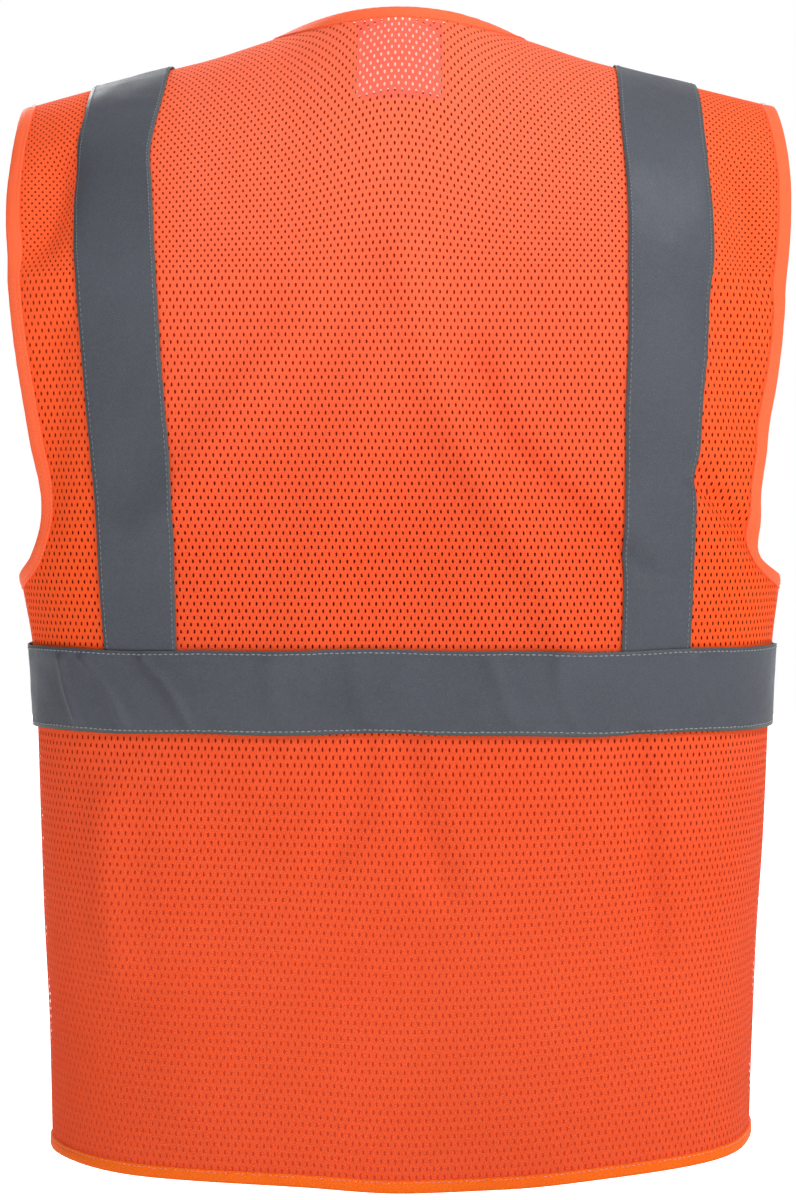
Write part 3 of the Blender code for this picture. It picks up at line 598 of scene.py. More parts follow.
ORANGE = (0.88, 0.104, 0.034, 1.0)
DEEP_ORANGE = (0.78, 0.066, 0.014, 1.0)
KNIT = (4200.0, 4200.0, 0.00045, 0.6)
WEAVE = (5200.0, 5200.0, 0.00020, 0.4)
RIBBED = (6500.0, 2500.0, 0.00025, 0.5)
MESH_CLOTH = cloth_material("orange mesh cloth", ORANGE, DEEP_ORANGE, 0.06, KNIT)
NECK_CLOTH = (0.86, 0.128, 0.082, 1.0)
LABEL_BLUR = 0.0006
# The paler orange below is painted light, for the cloth towards the shoulders where the light from above
# falls.
TOP_LIGHT_ORANGE = (0.95, 0.190, 0.100, 1.0)
STRONG_ORANGE = (0.92, 0.092, 0.012, 1.0)


def paint_light_from_above(mat):
    """Paint light onto the cloth towards the shoulders, where the light from above falls, and keep it a
    strong orange at the sides.
    """
    tree = mat.node_tree
    place = object_axes(tree)
    # Painted light: the cloth pales towards the top, where the light from above falls on it.
    light_from_above = map_range(tree, place["Z"], -0.33, -0.02, most=0.62)
    lit_from_above = mix_colour(tree, light_from_above, own_colour(mat), TOP_LIGHT_ORANGE)
    sides = map_range(tree, calc(tree, "ABSOLUTE", place["X"]), 0.13, 0.20, most=0.60)
    above_hem = map_range(tree, place["Z"], -0.46, -0.40)
    recolour(mat, mix_colour(tree, calc(tree, "MULTIPLY", sides, above_hem), lit_from_above, STRONG_ORANGE))


paint_light_from_above(MESH_CLOTH)


def show_label_through(mat, half_width, low, high):
    """Pale the thin cloth in front of the neck label, because some of the label shows through it."""
    tree = mat.node_tree
    place = object_axes(tree)
    off = calc(tree, "ABSOLUTE", place["X"])
    inside = map_range(tree, off, half_width + LABEL_BLUR, half_width - LABEL_BLUR)
    above = map_range(tree, place["Z"], low - LABEL_BLUR, low + LABEL_BLUR)
    below = map_range(tree, place["Z"], high + LABEL_BLUR, high - LABEL_BLUR)
    at_back = calc(tree, "GREATER_THAN", place["Y"], 0.0)
    mask = calc(tree, "MULTIPLY", calc(tree, "MULTIPLY", inside, above),
                calc(tree, "MULTIPLY", below, at_back))
    recolour(mat, mix_colour(tree, mask, own_colour(mat), NECK_CLOTH))


POCKET_CLOTH = cloth_material("orange woven cloth", (0.86, 0.094, 0.026, 1.0), DEEP_ORANGE, 0.05, WEAVE)
BINDING = cloth_material("orange binding", (0.97, 0.155, 0.060, 1.0), (0.9, 0.110, 0.034, 1.0), 0.08,
                         RIBBED, 0.6, 0.3)
HEM_CLOTH = cloth_material("hem binding", (0.95, 0.165, 0.010, 1.0), (0.85, 0.085, 0.006, 1.0), 0.08,
                           RIBBED, 0.6, 0.3)
PALE_THREAD = cloth_material("pale thread", (0.80, 0.36, 0.42, 1.0), (0.7, 0.28, 0.34, 1.0), 0.08, KNIT,
                             0.5, 0.3)
# The dull grey thread glows faintly (0.02), which is painted light.
DULL_THREAD = cloth_material("dull thread", (0.20, 0.215, 0.24, 1.0), (0.15, 0.16, 0.18, 1.0), 0.02, KNIT,
                             0.5, 0.3)
ZIP_WEAVE = cloth_material("orange zip weave", (0.95, 0.12, 0.03, 1.0), DEEP_ORANGE, 0.05, RIBBED)
# The label glows (emission 0.55), which is painted light: it lies in shade behind the mesh and still shows
# pale through the holes.
GLOWING_LABEL_CLOTH = cloth_material("label cloth with painted glow", (0.92, 0.89, 0.82, 1.0), (0.80, 0.77, 0.70, 1.0), 0.55, WEAVE)
TOUCH_HOOKS = cloth_material("touch tape hooks", (0.030, 0.029, 0.030, 1.0), (0.05, 0.048, 0.046, 1.0), 0.0,
                             (3500.0, 3500.0, 0.0006, 1.0), 0.6, 0.5)
THREAD = cloth_material("grey thread", (0.34, 0.36, 0.39, 1.0), (0.30, 0.31, 0.33, 1.0), 0.0, RIBBED, 0.6)
ORANGE_THREAD = cloth_material("orange thread", (1.0, 0.20, 0.06, 1.0), (0.9, 0.12, 0.03, 1.0), 0.08,
                               RIBBED, 0.6)


def vary_by(tree, shader, label, mask, least, most):
    """Let an input of the shader go from least to most with a mask."""
    tree.links.new(map_range(tree, mask, 0.0, 1.0, least, most), shader.inputs[label])


def make_reflective_material():
    """Grey tape of glass beads: fine sparkle, faint handling marks, dark sealed edges."""
    mat, tree, shader = new_material("reflective tape", 0.55, Metallic=0.12, Specular_IOR_Level=0.2)
    dye = place_group(mat, DYE, Color=(0.044, 0.050, 0.066, 1.0), Shade=(0.026, 0.031, 0.043, 1.0),
                      Frequency=16.0, Amount=0.55)
    edge = place_group(mat, EDGES, Width=TAPE_WIDTH, Edge=0.0009)
    colour = mix_colour(tree, edge.outputs["Mask"], dye.outputs["Color"], (0.055, 0.066, 0.058, 1.0))
    place = object_place(tree)
    beads = put(tree, "ShaderNodeTexVoronoi", {"Vector": place, "Scale": 2600.0})
    sparkle = calc(tree, "MULTIPLY", beads.outputs["Distance"], 0.35)
    bead_mix = mix_colour(tree, sparkle, colour, (0.24, 0.25, 0.27, 1.0))
    tree.links.new(bead_mix, shader.inputs["Base Color"])
    vary_by(tree, shader, "Roughness", dye.outputs["Mask"], 0.48, 0.64)
    marks = put(tree, "ShaderNodeTexNoise", {"Vector": place, "Scale": 40.0, "Detail": 3.0,
                                             "Distortion": 0.6})
    bump = put(tree, "ShaderNodeBump", {"Height": marks.outputs["Fac"], "Strength": 0.22, "Distance": 0.0015})
    tree.links.new(bump.outputs["Normal"], shader.inputs["Normal"])
    return mat


def make_plastic_material(name, colour, roughness):
    """Moulded plastic: near even colour with soft flow marks in its gloss."""
    mat, tree, shader = new_material(name, roughness)
    dye = place_group(mat, DYE, Color=colour, Shade=darker(colour, 0.75), Frequency=60.0, Amount=0.3)
    tree.links.new(dye.outputs["Color"], shader.inputs["Base Color"])
    vary_by(tree, shader, "Roughness", dye.outputs["Mask"], roughness, roughness + 0.15)
    return mat


def make_metal_material():
    """Painted slider metal, rubbed down to bright metal where hands have touched it."""
    mat, tree, shader = new_material("slider metal", 0.35, Metallic=0.7)
    wear = place_group(mat, DYE, Color=(0.045, 0.045, 0.047, 1.0), Shade=(0.30, 0.29, 0.28, 1.0),
                       Frequency=260.0, Amount=0.35)
    tree.links.new(wear.outputs["Color"], shader.inputs["Base Color"])
    vary_by(tree, shader, "Roughness", wear.outputs["Mask"], 0.28, 0.5)
    return mat


def make_window_material():
    """Clear soft plastic, slightly hazy with handling."""
    mat, tree, shader = new_material("clear window", 0.22, IOR=1.45, Specular_IOR_Level=0.30)
    haze = place_group(mat, DYE, Color=(0.85, 0.88, 0.90, 1.0), Shade=(0.75, 0.78, 0.80, 1.0),
                       Frequency=40.0, Amount=0.5)
    tree.links.new(haze.outputs["Color"], shader.inputs["Base Color"])
    vary_by(tree, shader, "Alpha", haze.outputs["Mask"], 0.10, 0.18)
    return mat


def make_floor_material():
    """Plain pale floor, which turns to white further off so that it meets the white room."""
    mat, tree, shader = new_material("studio floor", 0.9)
    place = object_place(tree)
    away = put(tree, "ShaderNodeVectorMath", {0: place}, operation="LENGTH").outputs["Value"]
    far = map_range(tree, away, 1.25, 1.75)
    paint = mix_colour(tree, far, darker(WHITE, 0.60), darker(WHITE, 0.95))
    tree.links.new(paint, shader.inputs["Base Color"])
    glow = mix_colour(tree, far, darker(WHITE, 0.12), WHITE)
    tree.links.new(glow, shader.inputs["Emission Color"])
    shader.inputs["Emission Strength"].default_value = 1.0
    return mat


def make_shade_form_material():
    """Painted shade for the form inside the vest: dark at the chest and warmer towards the hem and the neck.
    It glows a little, which is painted light.
    """
    mat, tree, shader = new_material("painted shade form", 1.0)
    shader.inputs["Specular IOR Level"].default_value = 0.0
    height = object_axes(tree)["Z"]
    colour = FORM_DARK_SHADE
    for start, end, most, tint in FORM_SHADE_TINTS:
        colour = mix_colour(tree, map_range(tree, height, start, end, most=most), colour, tint)
    recolour(mat, colour)
    # The glow of the shade colours is painted light.
    shader.inputs["Emission Strength"].default_value = 0.8
    return mat


# Colours of the painted shade on the form, for the shaded inside of the vest.
FORM_DARK_SHADE = (0.070, 0.005, 0.002, 1.0)
FORM_RED_SHADE = (0.25, 0.014, 0.006, 1.0)
FORM_WARM_SHADE = (0.40, 0.044, 0.022, 1.0)
# Each tint: the height where it starts, the height where it is full, its share there, and its colour.
FORM_SHADE_TINTS = (
    (-0.34, -0.20, 0.75, FORM_RED_SHADE), (-0.415, -0.47, 1.0, FORM_RED_SHADE), (-0.45, -0.58, 1.0, FORM_WARM_SHADE),
    (-0.06, 0.0, 0.55, FORM_WARM_SHADE),
)
REFLECTIVE = make_reflective_material()
ZIP_PLASTIC = make_plastic_material("orange zip plastic", (0.90, 0.11, 0.03, 1.0), 0.35)
SLIDER_METAL = make_metal_material()
CLEAR_WINDOW = make_window_material()
floor_mesh.materials.append(make_floor_material())
print("materials:", len(bpy.data.materials))

# %% [markdown]
# ## Outlines of the flat pattern
# The frame gives the armhole and the two necklines as places on the torso. Here they
# are turned into lines on the chart, and can be moved inwards by any width. All the
# cloth is cut along these lines.

# %% Lines on the chart
EDGE_POINTS = 81
DOWN, INWARD, OUTWARD = (0.0, -1.0), (-1.0, 0.0), (1.0, 0.0)


def chart(x, z):
    """Chart point of the torso point at x and z."""
    h = z
    if z > SHOULDER_START_Z:
        share = min((z - SHOULDER_START_Z) / (shoulder_z(x) - SHOULDER_START_Z), 1.0)
        h = SHOULDER_START_Z + float(np.interp(share, ARCH_RISE, ARCH_LENGTH))
    row = min(int(np.searchsorted(HEIGHTS, h)), len(HEIGHTS) - 1)
    return float(np.interp(x, TABLE_X[row], SHARES)) * float(SEAMS[row]), h


def smooth_line(points, count):
    """count points evenly along a smooth curve through chart points."""
    points = np.array(points)
    knots = arc_lengths(*points.T)
    stations = np.linspace(0, knots[-1], count)
    return np.column_stack([curve_through(np.column_stack((knots, points[:, k])))(stations) for k in (0, 1)])


def moved_in(line, turn, width, first, last):
    """The line moved sideways by width; first and last are its end directions."""
    tangent = np.gradient(line, axis=0)
    tangent /= np.linalg.norm(tangent, axis=1)[:, None]
    sideways = turn * np.column_stack((-tangent[:, 1], tangent[:, 0]))
    sideways[0], sideways[-1] = first, last
    return line + width * sideways


def chart_line(points, count):
    """count chart points along a smooth curve through places given by x and z."""
    return np.array([chart(x, z) for x, z in smooth_line(points, count)])


ARMHOLE_LINE = chart_line(ARMHOLE, EDGE_POINTS)
NECK_FRONT_LINE = chart_line(NECK_FRONT, EDGE_POINTS)
other_half = tuple((-x, z) for x, z in NECK_BACK[-2::-1])
NECK_BACK_LINE = chart_line(NECK_BACK + other_half, 2 * EDGE_POINTS - 1)[:EDGE_POINTS]
NECK_BACK_LINE[-1, 0] = 0.0
for line in (ARMHOLE_LINE, NECK_BACK_LINE, NECK_FRONT_LINE):
    line[0, 1] = SHOULDER_H


def armhole_line(width):
    """Armhole line, width in, from the shoulder to the underarm."""
    line = moved_in(ARMHOLE_LINE, -1, width, INWARD, DOWN)
    line[-1, 0] = seam_p(line[-1, 1])
    return line


def neck_back_line(width):
    """Back neckline, width in, from the shoulder to the middle."""
    return moved_in(NECK_BACK_LINE, 1, width, OUTWARD, DOWN)


def neck_front_line(width):
    """Front neckline, width in, from the shoulder to the zip."""
    return moved_in(NECK_FRONT_LINE, 1, width, OUTWARD, OUTWARD)


def mirrored(line):
    """A line from the side to the middle, carried on to the other side."""
    return np.concatenate((line, line[-2::-1] * (-1, 1)))


def brace_line(h):
    """Chart distance of the middle of the brace tape at height h."""
    rise = np.interp(h - SHOULDER_START_Z, ARCH_LENGTH, ARCH_RISE)
    z = np.where(rise > 0, SHOULDER_START_Z * (1 - rise), h)
    x = brace_x(z)
    out = []
    for one_x, one_h in zip(x, h):
        row = int(np.clip(round(np.interp(one_h, HEIGHTS, np.arange(len(HEIGHTS)))), 0, len(HEIGHTS) - 1))
        out.append(float(np.interp(one_x, TABLE_X[row], SHARES)) * float(SEAMS[row]))
    return np.array(out)


armhole_length = arc_lengths(*ARMHOLE_LINE.T)[-1]
back_neck_length = 2 * arc_lengths(*NECK_BACK_LINE.T)[-1]
print(f"armhole line {armhole_length:.3f} m, back neck {back_neck_length:.3f} m")

# %% [markdown]
# ## Building pieces
# Every ribbon is lofted: a small cross-section is drawn once, and repeated between two
# lines of the chart. A folded binding, a flat tape and a pocket all come from this one
# function, with different cross-sections. Its points are wrapped round the torso last.


def new_piece(name, verts, faces, uvs, mat, smooth=True):
    """A mesh object at the origin with its chart as a UV map."""
    mesh = bpy.data.meshes.new(name)
    mesh.from_pydata([tuple(v) for v in verts], [], faces)
    layer = mesh.uv_layers.new(name="chart")
    corner_verts = np.empty(len(mesh.loops), np.int32)
    mesh.loops.foreach_get("vertex_index", corner_verts)
    layer.data.foreach_set("uv", np.asarray(uvs, np.float32)[corner_verts].ravel())
    mesh.materials.append(mat)
    mesh.shade_smooth() if smooth else mesh.shade_flat()
    mesh.update()
    obj = bpy.data.objects.new(name, mesh)
    bpy.context.scene.collection.objects.link(obj)
    return obj


def loft(name, face, start_line, end_line, profile, mat, extra_lift=None, closed=True):
    """A ribbon between two lines of chart points. profile is (share across, lift) round its section."""
    share, lift = np.array(profile, float).T
    start_line, end_line = np.array(start_line), np.array(end_line)
    rows, around = len(start_line), len(share)
    points = start_line[:, None, :] * (1 - share[None, :, None]) + end_line[:, None, :] * share[None, :, None]
    lifts = np.broadcast_to(lift, (rows, around)).copy()
    if extra_lift is not None:
        lifts += extra_lift(points[..., 0], points[..., 1])
    verts = wrap(face, points[..., 0], points[..., 1], lifts).reshape(-1, 3)
    along = arc_lengths(*((start_line + end_line) / 2).T)
    width = float(np.mean(np.linalg.norm(end_line - start_line, axis=1)))
    uvs = np.stack(np.broadcast_arrays(share[None, :] * width, along[:, None]), -1).reshape(-1, 2)
    last = around if closed else around - 1
    faces = [
        (i * around + j, i * around + (j + 1) % around, (i + 1) * around + (j + 1) % around,
         (i + 1) * around + j)
        for i in range(rows - 1) for j in range(last)
    ]
    if closed:
        faces += [tuple(range(around))[::-1], tuple((rows - 1) * around + j for j in range(around))]
    obj = new_piece(name, verts, faces, uvs, mat)
    face_outward(obj)
    return obj


def face_outward(obj):
    """Turn a closed piece's faces outward."""
    bm = bmesh.new()
    bm.from_mesh(obj.data)
    if bm.calc_volume(signed=True) < 0:
        bmesh.ops.reverse_faces(bm, faces=bm.faces)
    bm.to_mesh(obj.data)
    bm.free()


def flat_profile(count, lift, thickness):
    """The section of a flat ribbon: out along its top and back along its underside."""
    share = np.linspace(0, 1, count)
    top = [(s, lift + thickness / 2) for s in share]
    return top + [(s, lift - thickness / 2) for s in share[::-1]]


def hang_over_shoulder(obj):
    """Bake the piece's placement into its mesh; it is not given a body to follow."""
    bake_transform(obj)


def follow(obj, body, nodes=(), over_shoulder=False):
    """Give a finished piece its body, or for a piece over the shoulder only bake its placement, and hide the
    frame nodes that it stands for.
    """
    if over_shoulder:
        hang_over_shoulder(obj)
    else:
        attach(obj, body)
    if nodes:
        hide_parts(*nodes)


SIDES = (("left", LEFT), ("right", RIGHT))

# %% [markdown]
# ## The open mesh
# The mesh is a knit with a slot of about 1 by 2 mm every 4.3 mm, each row shifted by
# half a pitch. Cutting 18,000 holes by Boolean would be slow and ragged. Instead a
# Geometry Nodes tree grows the net in the flat pattern: a staggered grid is triangulated,
# its dual gives one hexagon per hole, and each hexagon is shrunk inside itself and its
# middle deleted. What is left is clean cloth between holes, twelve triangles for each.
# A flat outline, met by a ray from each cell, says which cells belong to the panel.

# %% Node helpers for geometry trees
def geometry_tree(name, sockets):
    """A geometry group with a geometry output and the named inputs."""
    tree = bpy.data.node_groups.new(name, "GeometryNodeTree")
    for label, kind in sockets:
        tree.interface.new_socket(label, in_out="INPUT", socket_type="NodeSocket" + kind)
    tree.interface.new_socket("Geometry", in_out="OUTPUT", socket_type="NodeSocketGeometry")
    return tree, tree.nodes.new("NodeGroupInput").outputs, tree.nodes.new("NodeGroupOutput").inputs


def combine_xyz(tree, x=0.0, y=0.0, z=0.0):
    """A vector from three values."""
    return put(tree, "ShaderNodeCombineXYZ", {0: x, 1: y, 2: z}).outputs[0]


def random_offset(tree, seed, index, amount):
    """A random move for each point, up to half the amount along each axis."""
    random = put(tree, "FunctionNodeRandomValue", {"Seed": seed, "ID": index}, data_type="FLOAT_VECTOR")
    centred = put(tree, "ShaderNodeVectorMath", {0: random.outputs[0], 1: (0.5, 0.5, 0.5)},
                  operation="SUBTRACT")
    return put(tree, "ShaderNodeVectorMath", {0: centred.outputs[0], "Scale": amount},
               operation="SCALE").outputs[0]


def steps_along(tree, lines, step):
    """Points at even steps along drawn lines."""
    curve = put(tree, "GeometryNodeMeshToCurve", {"Mesh": lines}).outputs[0]
    return put(tree, "GeometryNodeResampleCurve", {"Curve": curve, "Length": step}, mode="LENGTH").outputs[0]


def give_result(tree, geometry, given, result):
    """Make instances real, paint them and hand them on as the tree's result."""
    realized = put(tree, "GeometryNodeRealizeInstances", {"Geometry": geometry}).outputs[0]
    painted = put(tree, "GeometryNodeSetMaterial", {"Geometry": realized, "Material": given["Material"]})
    tree.links.new(painted.outputs[0], result["Geometry"])


def run_tree(name, tree, values, mat, start_mesh=None):
    """Run a geometry tree once and return its result as a plain mesh object."""
    holder = bpy.data.objects.new(name + " tree", start_mesh or bpy.data.meshes.new(name + " tree"))
    modifier = holder.modifiers.new("nodes", "NODES")
    modifier.node_group = tree
    for item in tree.interface.items_tree:
        if item.item_type == "SOCKET" and item.in_out == "INPUT" and item.name in values:
            modifier[item.identifier] = values[item.name]
    bpy.context.scene.collection.objects.link(holder)
    graph = bpy.context.evaluated_depsgraph_get()
    mesh = bpy.data.meshes.new_from_object(holder.evaluated_get(graph), depsgraph=graph)
    mesh.name = name
    holder.modifiers.remove(modifier)
    bpy.data.objects.remove(holder)
    obj = bpy.data.objects.new(name, mesh)
    bpy.context.scene.collection.objects.link(obj)
    mesh.materials.clear()
    mesh.materials.append(mat)
    return obj


def flat_points(obj):
    """The mesh's vertices as an array."""
    flat = np.empty(3 * len(obj.data.vertices), np.float32)
    obj.data.vertices.foreach_get("co", flat)
    return flat.reshape(-1, 3).astype(float)


def wrap_mesh(obj, face, points, smooth=True):
    """Wrap a flat mesh, given as p, h and lift, round the torso and keep its chart as UVs."""
    mesh = obj.data
    for layer in list(mesh.uv_layers):
        mesh.uv_layers.remove(layer)
    layer = mesh.uv_layers.new(name="chart")
    corner_verts = np.empty(len(mesh.loops), np.int32)
    mesh.loops.foreach_get("vertex_index", corner_verts)
    layer.data.foreach_set("uv", points[corner_verts, :2].astype(np.float32).ravel())
    place = wrap(face, points[:, 0], points[:, 1], points[:, 2])
    mesh.vertices.foreach_set("co", place.astype(np.float32).ravel())
    if face == BACK:
        mesh.flip_normals()
    mesh.shade_smooth() if smooth else mesh.shade_flat()
    mesh.update()


# %% The perforation tree
def make_perforation_tree():
    """Staggered hexagonal cells inside an outline, each with a slot in it."""
    tree, given, result = geometry_tree("perforate", (
        ("Outline", "Object"), ("Centre X", "Float"), ("Centre Y", "Float"), ("Pitch", "Float"),
        ("Row", "Float"), ("Columns", "Int"), ("Rows", "Int"), ("Slot Width", "Float"),
        ("Slot Height", "Float"), ("Unevenness", "Float"), ("Seed", "Int"), ("Material", "Material"),
    ))
    columns = given["Columns"]
    rows = given["Rows"]
    size_x = calc(tree, "MULTIPLY", given["Pitch"], calc(tree, "SUBTRACT", columns, 1.0))
    size_y = calc(tree, "MULTIPLY", given["Row"], calc(tree, "SUBTRACT", rows, 1.0))
    grid = put(tree, "GeometryNodeMeshGrid", {"Size X": size_x, "Size Y": size_y, "Vertices X": columns,
                                              "Vertices Y": rows})
    index = put(tree, "GeometryNodeInputIndex").outputs[0]
    row_number = calc(tree, "MODULO", index, rows)
    odd = calc(tree, "MODULO", calc(tree, "ROUND", row_number), 2.0)
    shift = calc(tree, "MULTIPLY_ADD", calc(tree, "MULTIPLY", odd, given["Pitch"]), 0.5, given["Centre X"])
    jitter = random_offset(tree, given["Seed"], index, given["Unevenness"])
    jitter_parts = put(tree, "ShaderNodeSeparateXYZ", {0: jitter})
    offset = combine_xyz(tree, calc(tree, "ADD", shift, jitter_parts.outputs["X"]),
                         calc(tree, "ADD", given["Centre Y"], jitter_parts.outputs["Y"]))
    moved = put(tree, "GeometryNodeSetPosition", {"Geometry": grid.outputs["Mesh"], "Offset": offset})
    triangles = put(tree, "GeometryNodeTriangulate", {"Mesh": moved.outputs[0]})
    cells = put(tree, "GeometryNodeDualMesh", {"Mesh": triangles.outputs[0]})
    outline = put(tree, "GeometryNodeObjectInfo", {"Object": given["Outline"]}).outputs["Geometry"]
    above = put(tree, "ShaderNodeVectorMath", {0: put(tree, "GeometryNodeInputPosition").outputs[0],
                                               1: (0.0, 0.0, 0.5)}, operation="ADD")
    ray = put(tree, "GeometryNodeRaycast", {"Target Geometry": outline, "Source Position": above.outputs[0],
                                            "Ray Direction": (0.0, 0.0, -1.0), "Ray Length": 1.0})
    missed = put(tree, "FunctionNodeBooleanMath", {0: ray.outputs["Is Hit"]}, operation="NOT").outputs[0]
    kept = put(tree, "GeometryNodeDeleteGeometry", {"Geometry": cells.outputs[0], "Selection": missed},
               domain="FACE")
    grown = put(tree, "GeometryNodeExtrudeMesh", {"Mesh": kept.outputs[0], "Offset Scale": 0.0}, mode="FACES")
    grown.inputs["Individual"].default_value = True
    top = grown.outputs["Top"]
    geometry = grown.outputs["Mesh"]
    for axis, amount in (((1.0, 0.0, 0.0), given["Slot Width"]), ((0.0, 1.0, 0.0), given["Slot Height"])):
        scaled = put(tree, "GeometryNodeScaleElements", {
            "Geometry": geometry, "Selection": top, "Scale": amount, "Axis": axis,
        }, scale_mode="SINGLE_AXIS")
        geometry = scaled.outputs[0]
    open_net = put(tree, "GeometryNodeDeleteGeometry", {"Geometry": geometry, "Selection": top},
                   domain="FACE")
    give_result(tree, open_net.outputs[0], given, result)
    return tree


PERFORATE = make_perforation_tree()
PITCH = 0.0043
UPPER_ROW = 0.00433
LOWER_ROW = 0.0049
SLOT_WIDTH = 0.275
SLOT_HEIGHT = 0.49
CLOTH_SEED = 7


def net(name, face, outline, row, mat):
    """A wrapped panel of open mesh inside a closed outline of chart points."""
    outline = np.array(outline)
    flat = bpy.data.meshes.new(name + " outline")
    flat.from_pydata([(p, h, 0.0) for p, h in outline], [], [tuple(range(len(outline)))])
    guide = bpy.data.objects.new(name + " outline", flat)
    bpy.context.scene.collection.objects.link(guide)
    low, high = outline.min(axis=0), outline.max(axis=0)
    centre, size = (low + high) / 2, high - low
    obj = run_tree(name, PERFORATE, {
        "Outline": guide, "Centre X": float(centre[0]), "Centre Y": float(centre[1]), "Pitch": PITCH,
        "Row": row, "Columns": int(size[0] / PITCH) + 5, "Rows": int(size[1] / row) + 5,
        "Slot Width": SLOT_WIDTH, "Slot Height": SLOT_HEIGHT, "Unevenness": 0.00035, "Seed": CLOTH_SEED,
        "Material": mat,
    }, mat)
    bpy.data.objects.remove(guide)
    points = flat_points(obj)
    points[:, 2] = 0.0
    wrap_mesh(obj, face, points)
    print(f"{name}: {sum(len(f.vertices) - 2 for f in obj.data.polygons)} triangles")
    return obj


# %% [markdown]
# The back is one panel in life, but its mesh is looser below the waist tape, so it is cut
# in two lattices that meet under the tape. Each front is cut the same way.

# %% Mesh panels
MESH_JOIN = -0.417
EDGE_UNDER_BINDING = 0.0035
SEAM_STEP = 40
LOW_HEIGHTS = np.linspace(HEM_Z + EDGE_UNDER_BINDING, MESH_JOIN, SEAM_STEP)


def declare_sheet(outline):
    """Take a cut panel's outline as an array; nothing is done with it."""
    outline = np.array(outline)


side_heights = np.linspace(MESH_JOIN, UNDERARM_Z - EDGE_UNDER_BINDING, 12)[:-1]
side_line = [(float(seam_p(h)), h) for h in side_heights]
armhole_rising = list(map(tuple, armhole_line(EDGE_UNDER_BINDING)[::-1]))
upper_half = side_line + armhole_rising + list(map(tuple, neck_back_line(EDGE_UNDER_BINDING)))
BACK_UPPER = upper_half + [(-p, h) for p, h in upper_half[-2::-1]]
lower_half = [(float(seam_p(h)), h) for h in LOW_HEIGHTS]
BACK_LOWER = lower_half + [(-p, h) for p, h in lower_half[::-1]]
FRONT_INNER = ZIP_EDGE + EDGE_UNDER_BINDING
front_neck = list(map(tuple, neck_front_line(EDGE_UNDER_BINDING)))
FRONT_UPPER = side_line + armhole_rising + front_neck + [(FRONT_INNER, MESH_JOIN)]
FRONT_LOWER = lower_half + [(FRONT_INNER, MESH_JOIN), (FRONT_INNER, LOW_HEIGHTS[0])]

back_upper = net("back_mesh_upper", BACK, BACK_UPPER, UPPER_ROW, MESH_CLOTH)
back_lower = net("back_mesh_lower", BACK, BACK_LOWER, LOWER_ROW, MESH_CLOTH)
follow(back_upper, "back", ("back_panel",))
follow(back_lower, "back", ("back_panel",))
PANELS = {
    "back_mesh_upper": (back_upper, BACK_UPPER, "shoulders"),
    "back_mesh_lower": (back_lower, BACK_LOWER, "back_mesh_upper"),
}
for word, side in SIDES:
    body = word + "_front"
    for part, outline, row in (("upper", FRONT_UPPER, UPPER_ROW), ("lower", FRONT_LOWER, LOWER_ROW)):
        own = [(side * p, h) for p, h in outline]
        panel = net(f"{word}_front_mesh_{part}", FRONT, own, row, MESH_CLOTH)
        follow(panel, body, (f"front_panel_{word}",), over_shoulder=part == "upper")
        PANELS[panel.name] = (panel, own, "shoulders" if part == "upper" else f"{word}_front_mesh_upper")
edge_pieces = {name: [] for name in PANELS}

# %% [markdown]
# ## Bindings and seams
# Each raw edge is folded into a narrow woven binding. Its section goes round the edge:
# along the outside, over the fold and back along the inside, with the fold a little
# fuller than the rest. Small puckers along it come from the stitching.

# %% Binding
BINDING_HALF = 0.0011
FOLD_HALF = 0.0014
ARMHOLE_BINDING_WIDTH = 0.0100
HEM_POINTS = 141
BINDING_SECTION = (
    (1.0, 0.0002), (0.985, BINDING_HALF), (0.84, 0.0009), (0.80, 0.0008), (0.76, 0.0010), (0.5, FOLD_HALF),
    (0.22, FOLD_HALF), (0.07, 0.0010), (0.0, 0.0), (0.07, -0.0010), (0.22, -FOLD_HALF), (0.5, -FOLD_HALF),
    (0.8, -0.0009), (0.985, -BINDING_HALF), (1.0, -0.0002),
)


def pucker(p, h):
    """Small waves that the stitching leaves in a binding."""
    return 0.00012 * np.sin(900 * p + 700 * h) * np.sin(310 * h - 260 * p)


def binding(name, face, line_at, side, body, node, over_shoulder=False):
    """A folded binding along an edge. line_at gives the edge at a distance in."""
    own_width = ARMHOLE_BINDING_WIDTH if "armhole" in name else BINDING_WIDTH
    edges = [line_at(width) * (side, 1) for width in (0.0, own_width)]
    cloth = HEM_CLOTH if "hem" in name else BINDING
    obj = loft(name, face, edges[0], edges[1], BINDING_SECTION, cloth, pucker)
    edge_pieces[f"{body}_mesh_{'lower' if 'hem' in name else 'upper'}"].append(obj)
    follow(obj, body, (node,), over_shoulder)


def hem_line(start, end, count):
    """A line along the hem between two chart distances, at a distance up."""
    def at(width):
        h = HEM_Z + width
        ends = (max(start, -float(seam_p(h))), min(end, float(seam_p(h))))
        return np.column_stack((np.linspace(*ends, count), np.full(count, h)))
    return at


binding("neck_binding_back", BACK, lambda w: mirrored(neck_back_line(w)), LEFT, "back", "neck_binding_back")
binding("hem_binding_back", BACK, hem_line(-1.0, 1.0, 2 * HEM_POINTS - 1), LEFT, "back", "hem_binding_back")
for word, side in SIDES:
    body = word + "_front"
    binding(f"armhole_binding_back_{word}", BACK, armhole_line, side, "back", f"armhole_binding_back_{word}")
    binding(f"armhole_binding_front_{word}", FRONT, armhole_line, side, body,
            f"armhole_binding_front_{word}", True)
    binding(f"neck_binding_{word}", FRONT, neck_front_line, side, body, f"neck_binding_{word}", True)
    binding(f"hem_binding_{word}", FRONT, hem_line(ZIP_EDGE, 1.0, HEM_POINTS), side, body,
            f"hem_binding_{word}")


